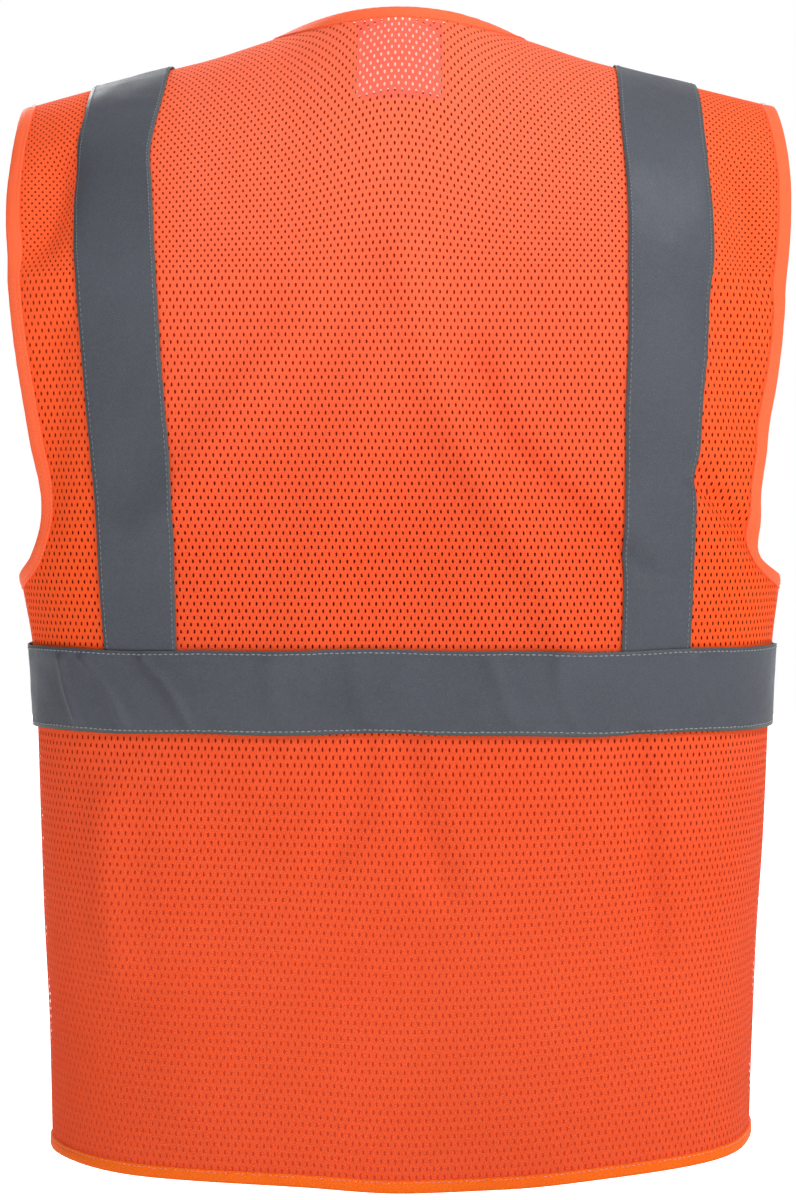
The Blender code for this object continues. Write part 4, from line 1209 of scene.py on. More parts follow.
# %% Seams
SEAM_HALF_WIDTH = 0.0062
SEAM_LIFT = 0.0006
SEAM_SECTION = (
    (0.0, 0.0), (0.1, SEAM_LIFT), (0.5, SEAM_LIFT + 0.0004), (0.9, SEAM_LIFT), (1.0, 0.0), (0.9, -SEAM_LIFT),
    (0.5, -SEAM_LIFT), (0.1, -SEAM_LIFT),
)


def seam_cover(name, centre, across):
    """A narrow felled seam over a line of chart points on the back."""
    line = np.array(centre)
    return loft(name, BACK, line - across, line + across, SEAM_SECTION, MESH_CLOTH, pucker)


seam_heights = np.linspace(HEM_Z + BINDING_WIDTH - 0.001, UNDERARM_Z - BINDING_WIDTH + 0.001, 90)
shoulder_from = neck_back_line(BINDING_WIDTH - 0.001)[0, 0]
shoulder_to = armhole_line(BINDING_WIDTH - 0.001)[0, 0]
for word, side in SIDES:
    line = [(side * float(seam_p(h)), h) for h in seam_heights]
    cover = seam_cover(f"side_seam_{word}", line, np.array((SEAM_HALF_WIDTH, 0.0)))
    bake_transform(cover)
    edge_pieces[f"{word}_front_mesh_lower"].append(cover)
    ridge = [(side * p, SHOULDER_H) for p in np.linspace(shoulder_from, shoulder_to, 50)]
    shoulder = seam_cover(f"shoulder_seam_{word}", ridge, np.array((0.0, SEAM_HALF_WIDTH)))
    follow(shoulder, "back")
    edge_pieces["back_mesh_upper"].append(shoulder)
for name, (panel, outline, rests_on) in PANELS.items():
    declare_sheet(outline)

# %% [markdown]
# ## Reflective tapes
# The tapes are stiffer than the mesh, so they crease: soft diagonal crumples where the
# tape is pushed together, most of all beside the seams and under the brace ends. A
# sum of waves with narrow tops gives them. They only ever lift the tape off the mesh.

# %% Tapes
BRACE_LIFT = 0.0013
WAIST_LIFT = 0.0028
TAPE_THICKNESS = 0.0006
WAIST_WIDTH = 0.0515
WAIST_STEP = 0.0022
CREASES = ((95.0, 60.0, 0.3, 1.0), (70.0, -110.0, 1.9, 0.8), (150.0, 35.0, 4.1, 0.5),
           (-40.0, 170.0, 2.7, 0.4))


def crumple(p, h):
    """Narrow rounded creases, from 0 up, stronger in some places than others."""
    ridges = sum(share * (0.5 + 0.5 * np.sin(a * p + b * h + phase)) ** 5 for a, b, phase, share in CREASES)
    patches = 0.5 + 0.5 * np.sin(23 * p + 1.3) * np.sin(17 * h + 9 * p + 0.8)
    return ridges * patches


WAIST_CREASES = (
    (((-0.440, 0.132), (-0.415, 0.146), (-0.398, 0.162)), 0.0032, 0.0024),
    (((-0.440, 0.174), (-0.420, 0.184), (-0.398, 0.202)), 0.0036, 0.0024),
    (((-0.440, 0.206), (-0.415, 0.216), (-0.398, 0.220)), 0.0030, 0.0020),
    (((-0.440, -0.195), (-0.420, -0.185), (-0.398, -0.182)), 0.0060, 0.0014),
    (((-0.440, -0.105), (-0.420, -0.096), (-0.398, -0.094)), 0.0050, 0.0012),
    (((-0.440, -0.068), (-0.420, -0.060), (-0.398, -0.052)), 0.0055, 0.0012),
    (((-0.440, 0.022), (-0.420, 0.028), (-0.398, 0.030)), 0.0070, 0.0010),
    (((-0.440, 0.072), (-0.420, 0.080), (-0.398, 0.082)), 0.0070, 0.0010),
)
waist_creases = fold_field(WAIST_CREASES)


def waist_crumple(p, h):
    """Crumples of the waist tape, which fade out at its sewn edges."""
    edge = ease(np.abs(h - WAIST_TOP_Z + TAPE_WIDTH / 2), TAPE_WIDTH / 2, TAPE_WIDTH / 2 - 0.008)
    return (0.0006 * crumple(p, h) + np.maximum(0.0, waist_creases(p, h))) * (0.25 + 0.75 * edge)


def brace_crumple(p, h):
    """Crumples of a brace tape, lighter than those of the waist tape."""
    return 0.0005 * crumple(p + 0.4, h)


def waist_sway(p):
    """How far the waist tape was sewn above or below its line."""
    return 0.0006 * np.sin(26 * p + 1.0) + 0.0004 * np.sin(63 * p)


def waist_piece(name, face, start, end, side, body, node):
    """A length of the waist tape between two chart distances."""
    p = side * np.linspace(start, end, int(abs(end - start) / WAIST_STEP))
    sway = waist_sway(p)
    high = np.column_stack((p, WAIST_TOP_Z + sway))
    low = np.column_stack((p, WAIST_TOP_Z - WAIST_WIDTH + sway + 0.0004 * np.sin(41 * p + 2.0)))
    obj = loft(name, face, high, low, flat_profile(25, WAIST_LIFT, TAPE_THICKNESS), REFLECTIVE, waist_crumple)
    follow(obj, body, (node,))


WAIST_SEAM = float(seam_p(WAIST_TOP_Z - TAPE_WIDTH / 2)) + 0.0004
waist_piece("waist_tape_back", BACK, -WAIST_SEAM, WAIST_SEAM, LEFT, "back", "waist_tape_back")
BRACE_HEIGHTS = np.linspace(WAIST_TOP_Z - 0.010, SHOULDER_H, 230)
BRACE_MIDDLE = brace_line(BRACE_HEIGHTS)
BRACE_DRIFT = {
    "left": ((-0.40, 0.0062), (-0.35, 0.0058), (-0.30, 0.0036), (-0.24, 0.0036), (-0.178, 0.0034),
             (-0.145, 0.0042), (-0.115, 0.0050), (-0.087, 0.0061), (-0.06, 0.0070), (-0.04, 0.0064),
             (-0.015, 0.0044), (0.01, 0.0020), (0.10, 0.0)),
    "right": ((-0.40, 0.0026), (-0.33, 0.0014), (-0.27, 0.0018), (-0.24, 0.0030), (-0.205, 0.0026),
              (-0.17, 0.0026), (-0.12, 0.0024), (-0.07, 0.0036), (-0.02, 0.0056), (0.10, 0.0060)),
}
BRACE_WIDTH = {
    "left": ((-0.40, 0.0475), (-0.25, 0.0500), (-0.12, 0.0520), (-0.075, 0.0520), (-0.045, 0.0495),
             (-0.01, 0.0500), (0.10, 0.0500)),
    "right": ((-0.40, 0.0455), (-0.33, 0.0455), (-0.27, 0.0468), (-0.24, 0.0482), (-0.205, 0.0508),
              (-0.15, 0.0545), (-0.10, 0.0545), (0.10, 0.0512)),
}


def brace_edge(word, side, across, inset=0.0):
    """Chart line along a brace tape: across is -1 for the edge by the neck and 1 for the outer one."""
    half = curve_through(BRACE_WIDTH[word])(BRACE_HEIGHTS) / 2 - inset
    drift = curve_through(BRACE_DRIFT[word])(BRACE_HEIGHTS)
    return np.column_stack((side * (BRACE_MIDDLE + across * half) + drift, BRACE_HEIGHTS))


for word, side in SIDES:
    tape_name = f"waist_tape_{word}"
    waist_piece(tape_name, FRONT, ZIP_EDGE + 0.0094, WAIST_SEAM, side, word + "_front", tape_name)
    edges = [brace_edge(word, side, k) for k in (-1, 1)]
    for face, place_word, body in ((BACK, "back", "back"), (FRONT, "front", word + "_front")):
        brace = loft(f"brace_tape_{place_word}_{word}", face, edges[0], edges[1],
                     flat_profile(19, BRACE_LIFT, TAPE_THICKNESS), REFLECTIVE, brace_crumple)
        follow(brace, body, (f"brace_tape_{place_word}_{word}",), face == FRONT)

# %% [markdown]
# ## Stitches
# Two rows of lock stitches hold each tape. A tree resamples a drawn line by the stitch
# length and sets one small lens of thread at each step, turned along the line. The line
# is drawn in the chart, so the stitches wrap with the tape and sit on its surface.

# %% The stitch tree
def make_stitch_tree():
    """Short threads set along drawn lines."""
    tree, given, result = geometry_tree("stitch", (
        ("Lines", "Geometry"), ("Step", "Float"), ("Thread", "Float"), ("Length", "Float"),
        ("Unevenness", "Float"), ("Seed", "Int"), ("Material", "Material"),
    ))
    points = steps_along(tree, given["Lines"], given["Step"])
    ball = put(tree, "GeometryNodeMeshUVSphere", {"Segments": 6, "Rings": 4, "Radius": 0.5})
    size = combine_xyz(tree, given["Thread"], given["Thread"], given["Length"])
    thread = put(tree, "GeometryNodeTransform", {"Geometry": ball.outputs["Mesh"], "Scale": size})
    tangent = put(tree, "GeometryNodeInputTangent").outputs[0]
    turn = put(tree, "FunctionNodeAlignRotationToVector", {"Vector": tangent}, axis="Z")
    index = put(tree, "GeometryNodeInputIndex").outputs[0]
    lean = random_offset(tree, given["Seed"], index, given["Unevenness"])
    moved = put(tree, "GeometryNodeSetPosition", {"Geometry": points, "Offset": lean})
    placed = put(tree, "GeometryNodeInstanceOnPoints", {
        "Points": moved.outputs[0], "Instance": thread.outputs[0], "Rotation": turn.outputs[0],
    })
    give_result(tree, placed.outputs[0], given, result)
    return tree


STITCH = make_stitch_tree()
STITCH_STEP = 0.0034


def line_mesh(name, lines):
    """A mesh of loose edges along lines of (p, h, lift) points."""
    verts, edges = [], []
    for line in lines:
        first = len(verts)
        verts += [tuple(point) for point in line]
        edges += [(i, i + 1) for i in range(first, len(verts) - 1)]
    mesh = bpy.data.meshes.new(name)
    mesh.from_pydata(verts, edges, [])
    return mesh


def stitches(name, face, lines, body, mat, over_shoulder=False, thread=0.0007, length=0.0025,
             lift_at=None):
    """Rows of stitches on a piece. lines are chart lines, and lift_at gives the surface's lift."""
    given = [np.column_stack((line, np.zeros(len(line)))) for line in map(np.array, lines)]
    obj = run_tree(name, STITCH, {
        "Step": STITCH_STEP, "Thread": thread, "Length": length, "Unevenness": 0.0003, "Seed": CLOTH_SEED,
        "Material": mat,
    }, mat, line_mesh(name + "_lines", given))
    points = flat_points(obj)
    points[:, 2] = points[:, 2] * 0.6 + lift_at(points[:, 0], points[:, 1])
    wrap_mesh(obj, face, points)
    if face == BACK:
        obj.data.flip_normals()
    follow(obj, body, (), over_shoulder)


def fine_stitches(name, face, lines, body, mat, surface, over_shoulder=False):
    """Rows of finer, shorter stitches."""
    stitches(name, face, lines, body, mat, over_shoulder, 0.0005, 0.0022, surface)


def level(lift):
    """A surface that has one lift everywhere."""
    return lambda p, h: np.full_like(p, lift)


STITCH_IN = 0.0022
STITCH_PROUD = 0.0001


def waist_surface(p, h):
    """Lift of the waist tape's surface."""
    return WAIST_LIFT + TAPE_THICKNESS / 2 + waist_crumple(p, h) + STITCH_PROUD


def brace_surface(p, h):
    """Lift of a brace tape's surface."""
    return BRACE_LIFT + TAPE_THICKNESS / 2 + brace_crumple(p, h) + STITCH_PROUD


def waist_rows(start, end):
    """The waist tape's two stitch rows between two chart distances."""
    p = np.linspace(start, end, 300)
    heights = (WAIST_TOP_Z - STITCH_IN, WAIST_TOP_Z - WAIST_WIDTH + STITCH_IN)
    return [np.column_stack((p, h + waist_sway(p))) for h in heights]


stitches("waist_stitches_back", BACK, waist_rows(-WAIST_SEAM + 0.002, WAIST_SEAM - 0.002), "back",
         THREAD, lift_at=waist_surface)
above_waist = BRACE_HEIGHTS > WAIST_TOP_Z + 0.001
for word, side in SIDES:
    body = word + "_front"
    inner_end = side * (ZIP_EDGE + 0.011)
    stitches(f"waist_stitches_{word}", FRONT, waist_rows(inner_end, side * (WAIST_SEAM - 0.002)), body,
             THREAD, lift_at=waist_surface)
    rows = [brace_edge(word, side, k, STITCH_IN)[above_waist] for k in (-1, 1)]
    for face, place_word, own in ((BACK, "back", "back"), (FRONT, "front", body)):
        stitches(f"brace_stitches_{place_word}_{word}", face, rows, own, DULL_THREAD,
                 face == FRONT, lift_at=brace_surface)

# %% Binding stitches
BINDING_STITCH_IN = 0.0066
BINDING_STITCH_LIFT = 0.00085
ZIP_STITCH_LIFT = 0.0013


def binding_stitches(name, face, line, side, body, over_shoulder=False, mat=ORANGE_THREAD):
    """One row of fine stitches along a binding."""
    fine_stitches(name, face, [line * (side, 1)], body, mat, level(BINDING_STITCH_LIFT),
                  over_shoulder)


binding_stitches("neck_stitches_back", BACK, mirrored(neck_back_line(BINDING_STITCH_IN)), LEFT, "back")
hem_row = hem_line(-1.0, 1.0, 2 * HEM_POINTS - 1)(BINDING_STITCH_IN)
binding_stitches("hem_stitches_back", BACK, hem_row, LEFT, "back", mat=PALE_THREAD)
for word, side in SIDES:
    body = word + "_front"
    binding_stitches(f"armhole_stitches_back_{word}", BACK, armhole_line(BINDING_STITCH_IN), side, "back")
    binding_stitches(f"armhole_stitches_front_{word}", FRONT, armhole_line(BINDING_STITCH_IN), side, body,
                     True)
    binding_stitches(f"neck_stitches_{word}", FRONT, neck_front_line(BINDING_STITCH_IN), side, body, True)
    hem_row = hem_line(ZIP_EDGE + 0.002, 1.0, HEM_POINTS)(BINDING_STITCH_IN)
    binding_stitches(f"hem_stitches_{word}", FRONT, hem_row, side, body, mat=PALE_THREAD)

# %% [markdown]
# ## The neck label
# A blank woven label is sewn inside the back neck. A painted glow lets it show pale through the mesh,
# although it lies in shade.

# %% Label
def upright(p, heights):
    """A straight upright line of chart points at the distance p."""
    return np.column_stack((np.full(len(heights), p), heights))


LABEL_HALF_WIDTH = 0.026
LABEL_HEIGHT = 0.052
LABEL_LIFT = -0.0026
label_top = float(NECK_BACK_LINE[-1, 1]) - BINDING_WIDTH
label_heights = np.linspace(label_top, label_top - LABEL_HEIGHT, 30)
label_edges = [upright(p, label_heights) for p in (-LABEL_HALF_WIDTH, LABEL_HALF_WIDTH)]
label = loft("neck_label", BACK, *label_edges, flat_profile(20, LABEL_LIFT, 0.0006), GLOWING_LABEL_CLOTH)
follow(label, "back", ("neck_label",))
label_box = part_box("neck_label")
show_label_through(MESH_CLOTH, LABEL_HALF_WIDTH, label_box[0][2], label_box[1][2])

# %% [markdown]
# ## The zip
# Each side of the zip is a woven tape with moulded teeth. A tooth is a narrow neck with
# a wider head that hooks between its neighbours, so the two rows sit half a pitch apart.
# The slider and its pull keep their frame shape, because they already fit the teeth.

# %% The tooth tree
def make_tooth_tree():
    """Zip teeth set along a drawn line, each with a neck and a head."""
    tree, given, result = geometry_tree("zip teeth", (
        ("Lines", "Geometry"), ("Pitch", "Float"), ("Side", "Float"), ("Reach", "Float"), ("Depth", "Float"),
        ("Material", "Material"),
    ))
    points = steps_along(tree, given["Lines"], given["Pitch"])
    reach = given["Reach"]
    depth = given["Depth"]
    neck_size = combine_xyz(tree, reach, calc(tree, "MULTIPLY", given["Pitch"], 0.42), depth)
    neck = put(tree, "GeometryNodeMeshCube", {"Size": neck_size})
    head = put(tree, "GeometryNodeMeshUVSphere", {"Segments": 10, "Rings": 6, "Radius": 0.5})
    head_width = calc(tree, "MULTIPLY", reach, 0.42)
    head_size = combine_xyz(tree, head_width, calc(tree, "MULTIPLY", given["Pitch"], 0.62), depth)
    head_x = calc(tree, "MULTIPLY", calc(tree, "MULTIPLY", reach, -0.36), given["Side"])
    head_place = combine_xyz(tree, head_x)
    head_set = put(tree, "GeometryNodeTransform", {"Geometry": head.outputs["Mesh"], "Scale": head_size,
                                                   "Translation": head_place})
    joined = put(tree, "GeometryNodeJoinGeometry")
    tree.links.new(neck.outputs["Mesh"], joined.inputs[0])
    tree.links.new(head_set.outputs[0], joined.inputs[0])
    placed = put(tree, "GeometryNodeInstanceOnPoints", {"Points": points, "Instance": joined.outputs[0]})
    give_result(tree, placed.outputs[0], given, result)
    return tree


ZIP_TEETH = make_tooth_tree()

# %% Zip pieces
TOOTH_PITCH = 0.0026
CHAIN_INNER, CHAIN_OUTER = 0.0008, 0.0034
CHAIN_BACK, CHAIN_FRONT = -0.0014, 0.0008
CHAIN_LIFT = (CHAIN_BACK + CHAIN_FRONT) / 2
CHAIN_DEPTH = CHAIN_FRONT - CHAIN_BACK
ZIP_LOW = HEM_Z + 0.004
ZIP_TOP = NECK_FRONT_Z - 0.002
PIN_LENGTH = 0.018
STOP_LENGTH = 0.004
ZIP_TAPE_POINTS = 8
ZIP_TAPE_STEP = 0.006
BLOCK_ROUNDING = 0.55


def zip_ribbon(name, side, inner, outer, low, high, lift, thickness, mat, body, node):
    """A straight ribbon of the zip between two distances from the middle."""
    h = np.linspace(low, high, int((high - low) / ZIP_TAPE_STEP))
    edges = [upright(side * p, h) for p in (inner, outer)]
    obj = loft(name, FRONT, *edges, flat_profile(ZIP_TAPE_POINTS, lift, thickness), mat)
    follow(obj, body, (node,))


def rounded_block(name, side, inner, outer, low, high, mat, body, node):
    """A moulded block of the zip with soft edges."""
    def squared(value):
        return math.copysign(abs(value) ** BLOCK_ROUNDING, value)

    angles = np.linspace(0, 2 * math.pi, 25)[:-1]
    section = [(0.5 + 0.5 * squared(math.cos(a)), CHAIN_LIFT + 0.5 * CHAIN_DEPTH * squared(math.sin(a)))
               for a in angles]
    middle = (inner + outer) / 2
    half = (outer - inner) / 2
    bulge = np.array([0.80, 0.95, 1.0, 1.0, 1.0, 0.95, 0.80])
    h = low + (high - low) * np.array([0.0, 0.03, 0.08, 0.5, 0.92, 0.97, 1.0])
    edges = [np.column_stack((side * (middle + k * half * bulge), h)) for k in (-1, 1)]
    obj = loft(name, FRONT, edges[0], edges[1], section, mat)
    follow(obj, body, (node,))


def teeth(name, side, low, high, body, node):
    """One row of zip teeth; the right row sits half a pitch higher."""
    start = low + (0 if side > 0 else TOOTH_PITCH / 2)
    middle = side * (CHAIN_INNER + CHAIN_OUTER) / 2 * 0.93
    line = [(middle, start, 0.0), (middle, high - TOOTH_PITCH, 0.0)]
    obj = run_tree(name, ZIP_TEETH, {
        "Pitch": TOOTH_PITCH, "Side": float(side), "Reach": CHAIN_OUTER - CHAIN_INNER, "Depth": CHAIN_DEPTH,
        "Material": ZIP_PLASTIC,
    }, ZIP_PLASTIC, line_mesh(name + "_lines", [line]))
    points = flat_points(obj)
    points[:, 2] += CHAIN_LIFT
    wrap_mesh(obj, FRONT, points, smooth=False)
    follow(obj, body, (node,))


for word, side in SIDES:
    body = word + "_front"
    zip_ribbon(f"zip_tape_{word}", side, 0.0014, 0.0150, ZIP_LOW, ZIP_TOP, -0.0022, 0.0008, ZIP_WEAVE, body,
               f"zip_tape_{word}")
    teeth(f"zip_chain_{word}", side, ZIP_LOW + PIN_LENGTH + 0.001, ZIP_TOP - STOP_LENGTH, body,
          f"zip_chain_{word}")
    rounded_block(f"zip_top_stop_{word}", side, CHAIN_INNER, CHAIN_OUTER, ZIP_TOP - STOP_LENGTH, ZIP_TOP,
                  ZIP_PLASTIC, body, f"zip_top_stop_{word}")
    h = np.linspace(HEM_Z + BINDING_WIDTH * 0.1, NECK_FRONT_Z, 200)
    facing_edges = [upright(side * p, h) for p in (ZIP_EDGE, ZIP_EDGE + BINDING_WIDTH)]
    facing = loft(f"zip_facing_{word}", FRONT, *facing_edges, BINDING_SECTION, BINDING, pucker)
    follow(facing, body, (f"zip_facing_{word}",))
    seam_rows = [upright(side * (ZIP_EDGE + w), h) for w in (0.0018, BINDING_STITCH_IN)]
    fine_stitches(f"zip_stitches_{word}", FRONT, seam_rows, body, ORANGE_THREAD,
                  level(ZIP_STITCH_LIFT))
rounded_block("zip_pin", LEFT, CHAIN_INNER, CHAIN_OUTER, ZIP_LOW, ZIP_LOW + PIN_LENGTH, ZIP_PLASTIC,
              "left_front", "zip_pin")
rounded_block("zip_retainer_box", RIGHT, CHAIN_INNER, CHAIN_OUTER + 0.0010, ZIP_LOW, ZIP_LOW + PIN_LENGTH,
              ZIP_PLASTIC, "right_front", "zip_retainer_box")
for name in ("zip_slider", "zip_pull"):
    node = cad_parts[name]
    node.data.materials.clear()
    node.data.materials.append(SLIDER_METAL)

# %% [markdown]
# ## Pockets
# Each patch pocket is a shallow bag: flat on the chest round its sewn rim, full in the
# middle, with its mouth standing open a little under the flap. The fullness follows a
# smooth dome instead of a box, and the cloth sags slightly towards the bottom.

# %% Pocket bags
POCKET_THICKNESS = 0.0010
POCKET_RIM_LIFT = 0.0013
BAG_STEP = 0.0035


def bag_lift(share_p, share_h, depth):
    """Lift of a pocket's cloth at its share across and its share up."""
    side_edge = np.minimum(share_p, 1 - share_p)
    dome = ease(side_edge, 0.0, 0.13) * ease(share_h, 0.0, 0.12)
    sag = 1.0 - 0.16 * ease(share_h, 0.3, 1.0) * (1 - ease(side_edge, 0.0, 0.5))
    return POCKET_RIM_LIFT + (depth - POCKET_RIM_LIFT) * dome * sag


def pleats(p, h):
    """Soft rumples of a pocket's cloth."""
    return 0.0004 * np.sin(70 * p + 45 * h) * np.sin(38 * h - 61 * p + 1.0)


def cloth_lift(lift, p, h):
    """The lift of a pocket's cloth with its rumples, which fade out at the sewn rim."""
    return lift + pleats(p, h) * ease(lift, 0.002, 0.006)


def stitch_surface(lift_at, left, right, low, high):
    """Lift of the outer surface of a sheet at chart points, for the stitches on it."""
    def surface(p, h):
        share_p = np.clip((np.abs(p) - left) / (right - left), 0, 1)
        share_h = np.clip((h - low) / (high - low), 0, 1)
        return cloth_lift(lift_at(share_p, share_h), np.abs(p), h) + POCKET_THICKNESS / 2 + STITCH_PROUD
    return surface


def sheet_grid(name, side, left, right, low, high, lift_at, mat, thickness):
    """A closed sheet of cloth between chart distances and heights; lift_at takes the two shares."""
    columns = int((right - left) / BAG_STEP) + 2
    rows = int((high - low) / BAG_STEP) + 2
    share_p, share_h = np.meshgrid(np.linspace(0, 1, columns), np.linspace(0, 1, rows))
    p = left + (right - left) * share_p
    h = low + (high - low) * share_h
    lift = cloth_lift(lift_at(share_p, share_h), p, h)
    outer = wrap(FRONT, side * p, h, lift + thickness / 2)
    inner = wrap(FRONT, side * p, h, lift - thickness / 2)
    verts = np.concatenate((outer.reshape(-1, 3), inner.reshape(-1, 3)))
    flat = np.stack((p, h), -1).reshape(-1, 2)
    count = rows * columns
    faces = []
    for j in range(rows - 1):
        for i in range(columns - 1):
            a, b = j * columns + i, j * columns + i + 1
            c, d = b + columns, a + columns
            faces += [(a, b, c, d), (count + d, count + c, count + b, count + a)]
    for i in range(columns - 1):
        top = (rows - 1) * columns + i
        faces += [(i + 1, i, count + i, count + i + 1), (top, top + 1, count + top + 1, count + top)]
    for j in range(rows - 1):
        a, b = j * columns, (j + 1) * columns
        c, d = a + columns - 1, b + columns - 1
        faces += [(a, b, count + b, count + a), (d, c, count + c, count + d)]
    obj = new_piece(name, verts, faces, np.concatenate((flat, flat)), mat)
    face_outward(obj)
    return obj


LOOP_CLEARANCE = 0.0014
TOUCH_TAPE_HALF = 0.0004
HOOK_ABOVE_LOOP = 0.0012
FLAP_ABOVE_HOOK = 0.0013


class Pocket:
    """A patch pocket: its chart box, how deep it is, and the lifts of what lies over it."""

    def __init__(self, left, right, low, high, depth):
        self.left, self.right, self.low, self.high, self.depth = left, right, low, high, depth
        self.loop_lift = depth + LOOP_CLEARANCE + TOUCH_TAPE_HALF
        self.hook_lift = self.loop_lift + HOOK_ABOVE_LOOP
        self.flap_lift = self.hook_lift + FLAP_ABOVE_HOOK


LOWER_POCKET = Pocket(0.032, 0.188, -0.706, -0.478, 0.0140)
PHONE_POCKET = Pocket(0.028, 0.116, -0.375, -0.240, 0.0120)
ID_POCKET = Pocket(0.032, 0.112, -0.350, -0.235, 0.0090)
FLAP_OVERHANG = 0.004
FLAP_RAMP = 0.016
FLAP_ROOT_LIFT = 0.0030
POCKET_STITCH_IN = 0.002
FLAP_STITCH_IN = 0.003
STITCH_END_IN = 0.004
MOUTH_HEM = 0.012


def stitched_rim(left, right, low, high, inner):
    """The stitch row down one side, along the bottom and up the other side."""
    top, bottom = high - STITCH_END_IN, low + inner
    return [(left + inner, top), (left + inner, bottom), (right - inner, bottom), (right - inner, top)]


def pocket_bag(name, pocket, side, body):
    """A pocket's bag with its stitched rim and a turned edge along its mouth."""
    def lift_at(share_p, share_h):
        return bag_lift(share_p, share_h, pocket.depth)

    box = (pocket.left, pocket.right, pocket.low, pocket.high)
    obj = sheet_grid(name, side, *box, lift_at, POCKET_CLOTH, POCKET_THICKNESS)
    follow(obj, body, (name,))
    rim = stitched_rim(*box, POCKET_STITCH_IN)
    mouth_z = pocket.high - MOUTH_HEM
    mouth_row = [(pocket.left + STITCH_END_IN, mouth_z), (pocket.right - STITCH_END_IN, mouth_z)]
    rows = [np.array(line) * (side, 1) for line in (rim, mouth_row)]
    fine_stitches(name + "_stitches", FRONT, rows, body, ORANGE_THREAD,
                  stitch_surface(lift_at, *box))


def flap(name, pocket, top, low, side, body):
    """A flap: sewn on above the mouth, it steps out over the pocket and hangs."""
    def lift_at(share_p, share_h):
        h = low + (top - low) * share_h
        step = ease(h, top, top - FLAP_RAMP)
        curl = 0.0012 * (1 - share_h) ** 2 * np.cos(math.pi * (2 * share_p - 1))
        return FLAP_ROOT_LIFT + (pocket.flap_lift - FLAP_ROOT_LIFT) * step + curl * (share_h < 0.9)

    left, right = pocket.left - FLAP_OVERHANG, pocket.right + FLAP_OVERHANG
    obj = sheet_grid(name, side, left, right, low, top, lift_at, POCKET_CLOTH, POCKET_THICKNESS)
    follow(obj, body, (name,))
    lines = [stitched_rim(left, right, low, top, FLAP_STITCH_IN)]
    for down in (0.002, 0.007):
        lines.append([(left + FLAP_STITCH_IN, top - down), (right - FLAP_STITCH_IN, top - down)])
    rows = [np.array(line) * (side, 1) for line in lines]
    fine_stitches(name + "_stitches", FRONT, rows, body, ORANGE_THREAD,
                  stitch_surface(lift_at, left, right, low, top))


def touch_patch(name, pocket, half, low, high, side, lift, body):
    """A patch of touch tape with a dense pile."""
    middle = (pocket.left + pocket.right) / 2
    h = np.linspace(low, high, 14)
    edges = [upright(side * (middle + k * half), h) for k in (-1, 1)]
    obj = loft(name, FRONT, *edges, flat_profile(24, lift, 2 * TOUCH_TAPE_HALF), TOUCH_HOOKS)
    follow(obj, body, (name,))


for word, side in SIDES:
    body = word + "_front"
    pocket_bag(f"lower_pocket_{word}", LOWER_POCKET, side, body)
    flap_body = f"lower_{word}_flap"
    flap(f"lower_flap_{word}", LOWER_POCKET, -0.457, -0.530, side, flap_body)
    for kind, lift, own in (("loop", LOWER_POCKET.loop_lift, body),
                            ("hook", LOWER_POCKET.hook_lift, flap_body)):
        touch_patch(f"lower_{kind}_tape_{word}", LOWER_POCKET, 0.020, -0.524, -0.504, side, lift, own)
pocket_bag("phone_pocket", PHONE_POCKET, LEFT, "left_front")
flap("phone_flap", PHONE_POCKET, -0.222, -0.285, LEFT, "phone_pocket_flap")
for kind, lift, own in (
    ("loop", PHONE_POCKET.loop_lift, "left_front"), ("hook", PHONE_POCKET.hook_lift, "phone_pocket_flap"),
):
    touch_patch(f"phone_{kind}_tape", PHONE_POCKET, 0.015, -0.280, -0.262, LEFT, lift, own)
pocket_bag("id_pocket", ID_POCKET, RIGHT, "right_front")

# %% The clear window of the card pocket
ID_BORDER = 0.008


def window_lift(share_p, share_h):
    """Lift of the window, just clear of the pocket cloth under it."""
    width = (ID_POCKET.right - ID_POCKET.left - 2 * ID_BORDER) / (ID_POCKET.right - ID_POCKET.left)
    rise = (ID_POCKET.high - ID_POCKET.low - ID_BORDER) / (ID_POCKET.high - ID_POCKET.low)
    under = bag_lift((1 - width) / 2 + width * share_p, (1 - rise) + rise * share_h, ID_POCKET.depth)
    return under + POCKET_THICKNESS + 0.0006


window = sheet_grid("id_window", RIGHT, ID_POCKET.left + ID_BORDER, ID_POCKET.right - ID_BORDER,
                    ID_POCKET.low + ID_BORDER, ID_POCKET.high, window_lift, CLEAR_WINDOW, 0.0005)
follow(window, "right_front", ("id_window",))

# %% [markdown]
# ## The painted shade form
# The back is shown over a form that is painted shade: its dark colours and faint glow stand
# for the shaded inside of the vest. The form isn't part of the vest. It stands close behind
# the mesh, so the holes look dark in place of showing the backdrop.

# %% Painted shade form
FORM_LIFT = -0.0013
FORM_BEHIND_LABEL = -0.0040
FORM_TOP_INSET = 0.003
FORM_ROWS, FORM_COLUMNS = 120, 60
FORM_ZIP_EDGE = 0.009


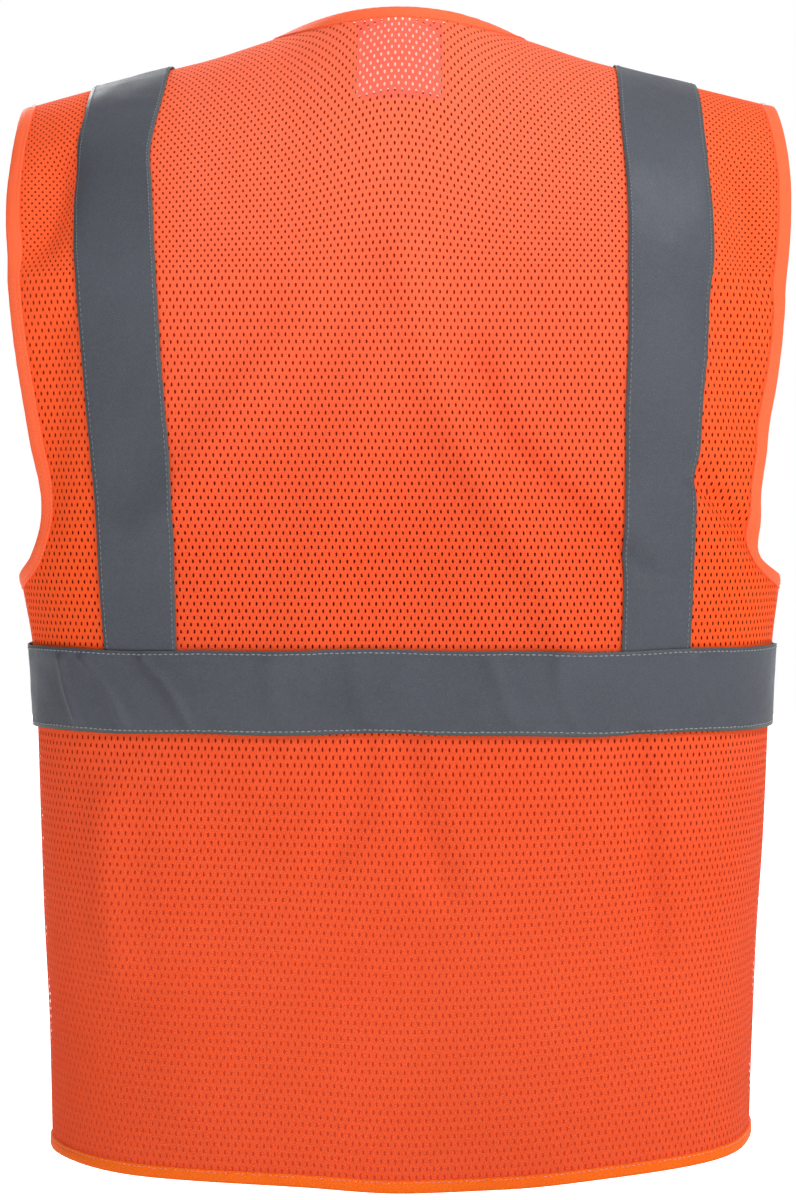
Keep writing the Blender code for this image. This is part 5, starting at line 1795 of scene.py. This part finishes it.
def form_shell(name, face, side, inner_at, top_at):
    """One face of the form, between its inner edge and the seam or armhole."""
    heights = np.linspace(HEM_Z + 0.006, SHOULDER_H - 0.004, FORM_ROWS)
    armhole = armhole_line(FORM_TOP_INSET)[::-1]
    along_armhole = np.interp(heights, armhole[:, 1], armhole[:, 0])
    outer = np.where(heights < armhole[0, 1], seam_p(heights), along_armhole)
    share = np.linspace(0, 1, FORM_COLUMNS)
    inner = inner_at(heights)
    p = inner[:, None] + (outer - inner)[:, None] * share[None, :]
    fan = ease(heights, -0.06, SHOULDER_H)[:, None]
    h = heights[:, None] - fan * (SHOULDER_H - top_at(p))
    label_low = label_top - LABEL_HEIGHT
    by_label = (1 - ease(p, 0.028, 0.040)) * ease(h, label_low - 0.012, label_low)
    lift = FORM_LIFT + (FORM_BEHIND_LABEL - FORM_LIFT) * by_label
    verts = wrap(face, side * p, h, lift).reshape(-1, 3)
    corners = [i * FORM_COLUMNS + j for i in range(FORM_ROWS - 1) for j in range(FORM_COLUMNS - 1)]
    faces = [(a, a + 1, a + 1 + FORM_COLUMNS, a + FORM_COLUMNS) for a in corners]
    obj = new_piece(name, verts, faces, np.stack((p, h), -1).reshape(-1, 2), SHADE_FORM_MATERIAL)
    return obj


def form_top(p):
    """Height where the form ends under the back neck."""
    line = neck_back_line(FORM_TOP_INSET)[::-1]
    return np.where(p < line[-1, 0], np.interp(p, line[:, 0], line[:, 1]), SHOULDER_H)


def front_inner(h):
    """Chart distance where the form's front begins: by the zip, then along the front neck."""
    line = neck_front_line(FORM_TOP_INSET)[::-1]
    return np.where(h < line[0, 1], FORM_ZIP_EDGE, np.interp(h, line[:, 1], line[:, 0]))


SHADE_FORM_MATERIAL = make_shade_form_material()
for word, side in SIDES:
    form_shell(f"form_back_{word}", BACK, side, np.zeros_like, form_top)
    front = form_shell(f"form_front_{word}", FRONT, side, front_inner, lambda p: np.full_like(p, SHOULDER_H))
    hang_over_shoulder(front)

# %% Update the scene
bpy.context.view_layer.update()
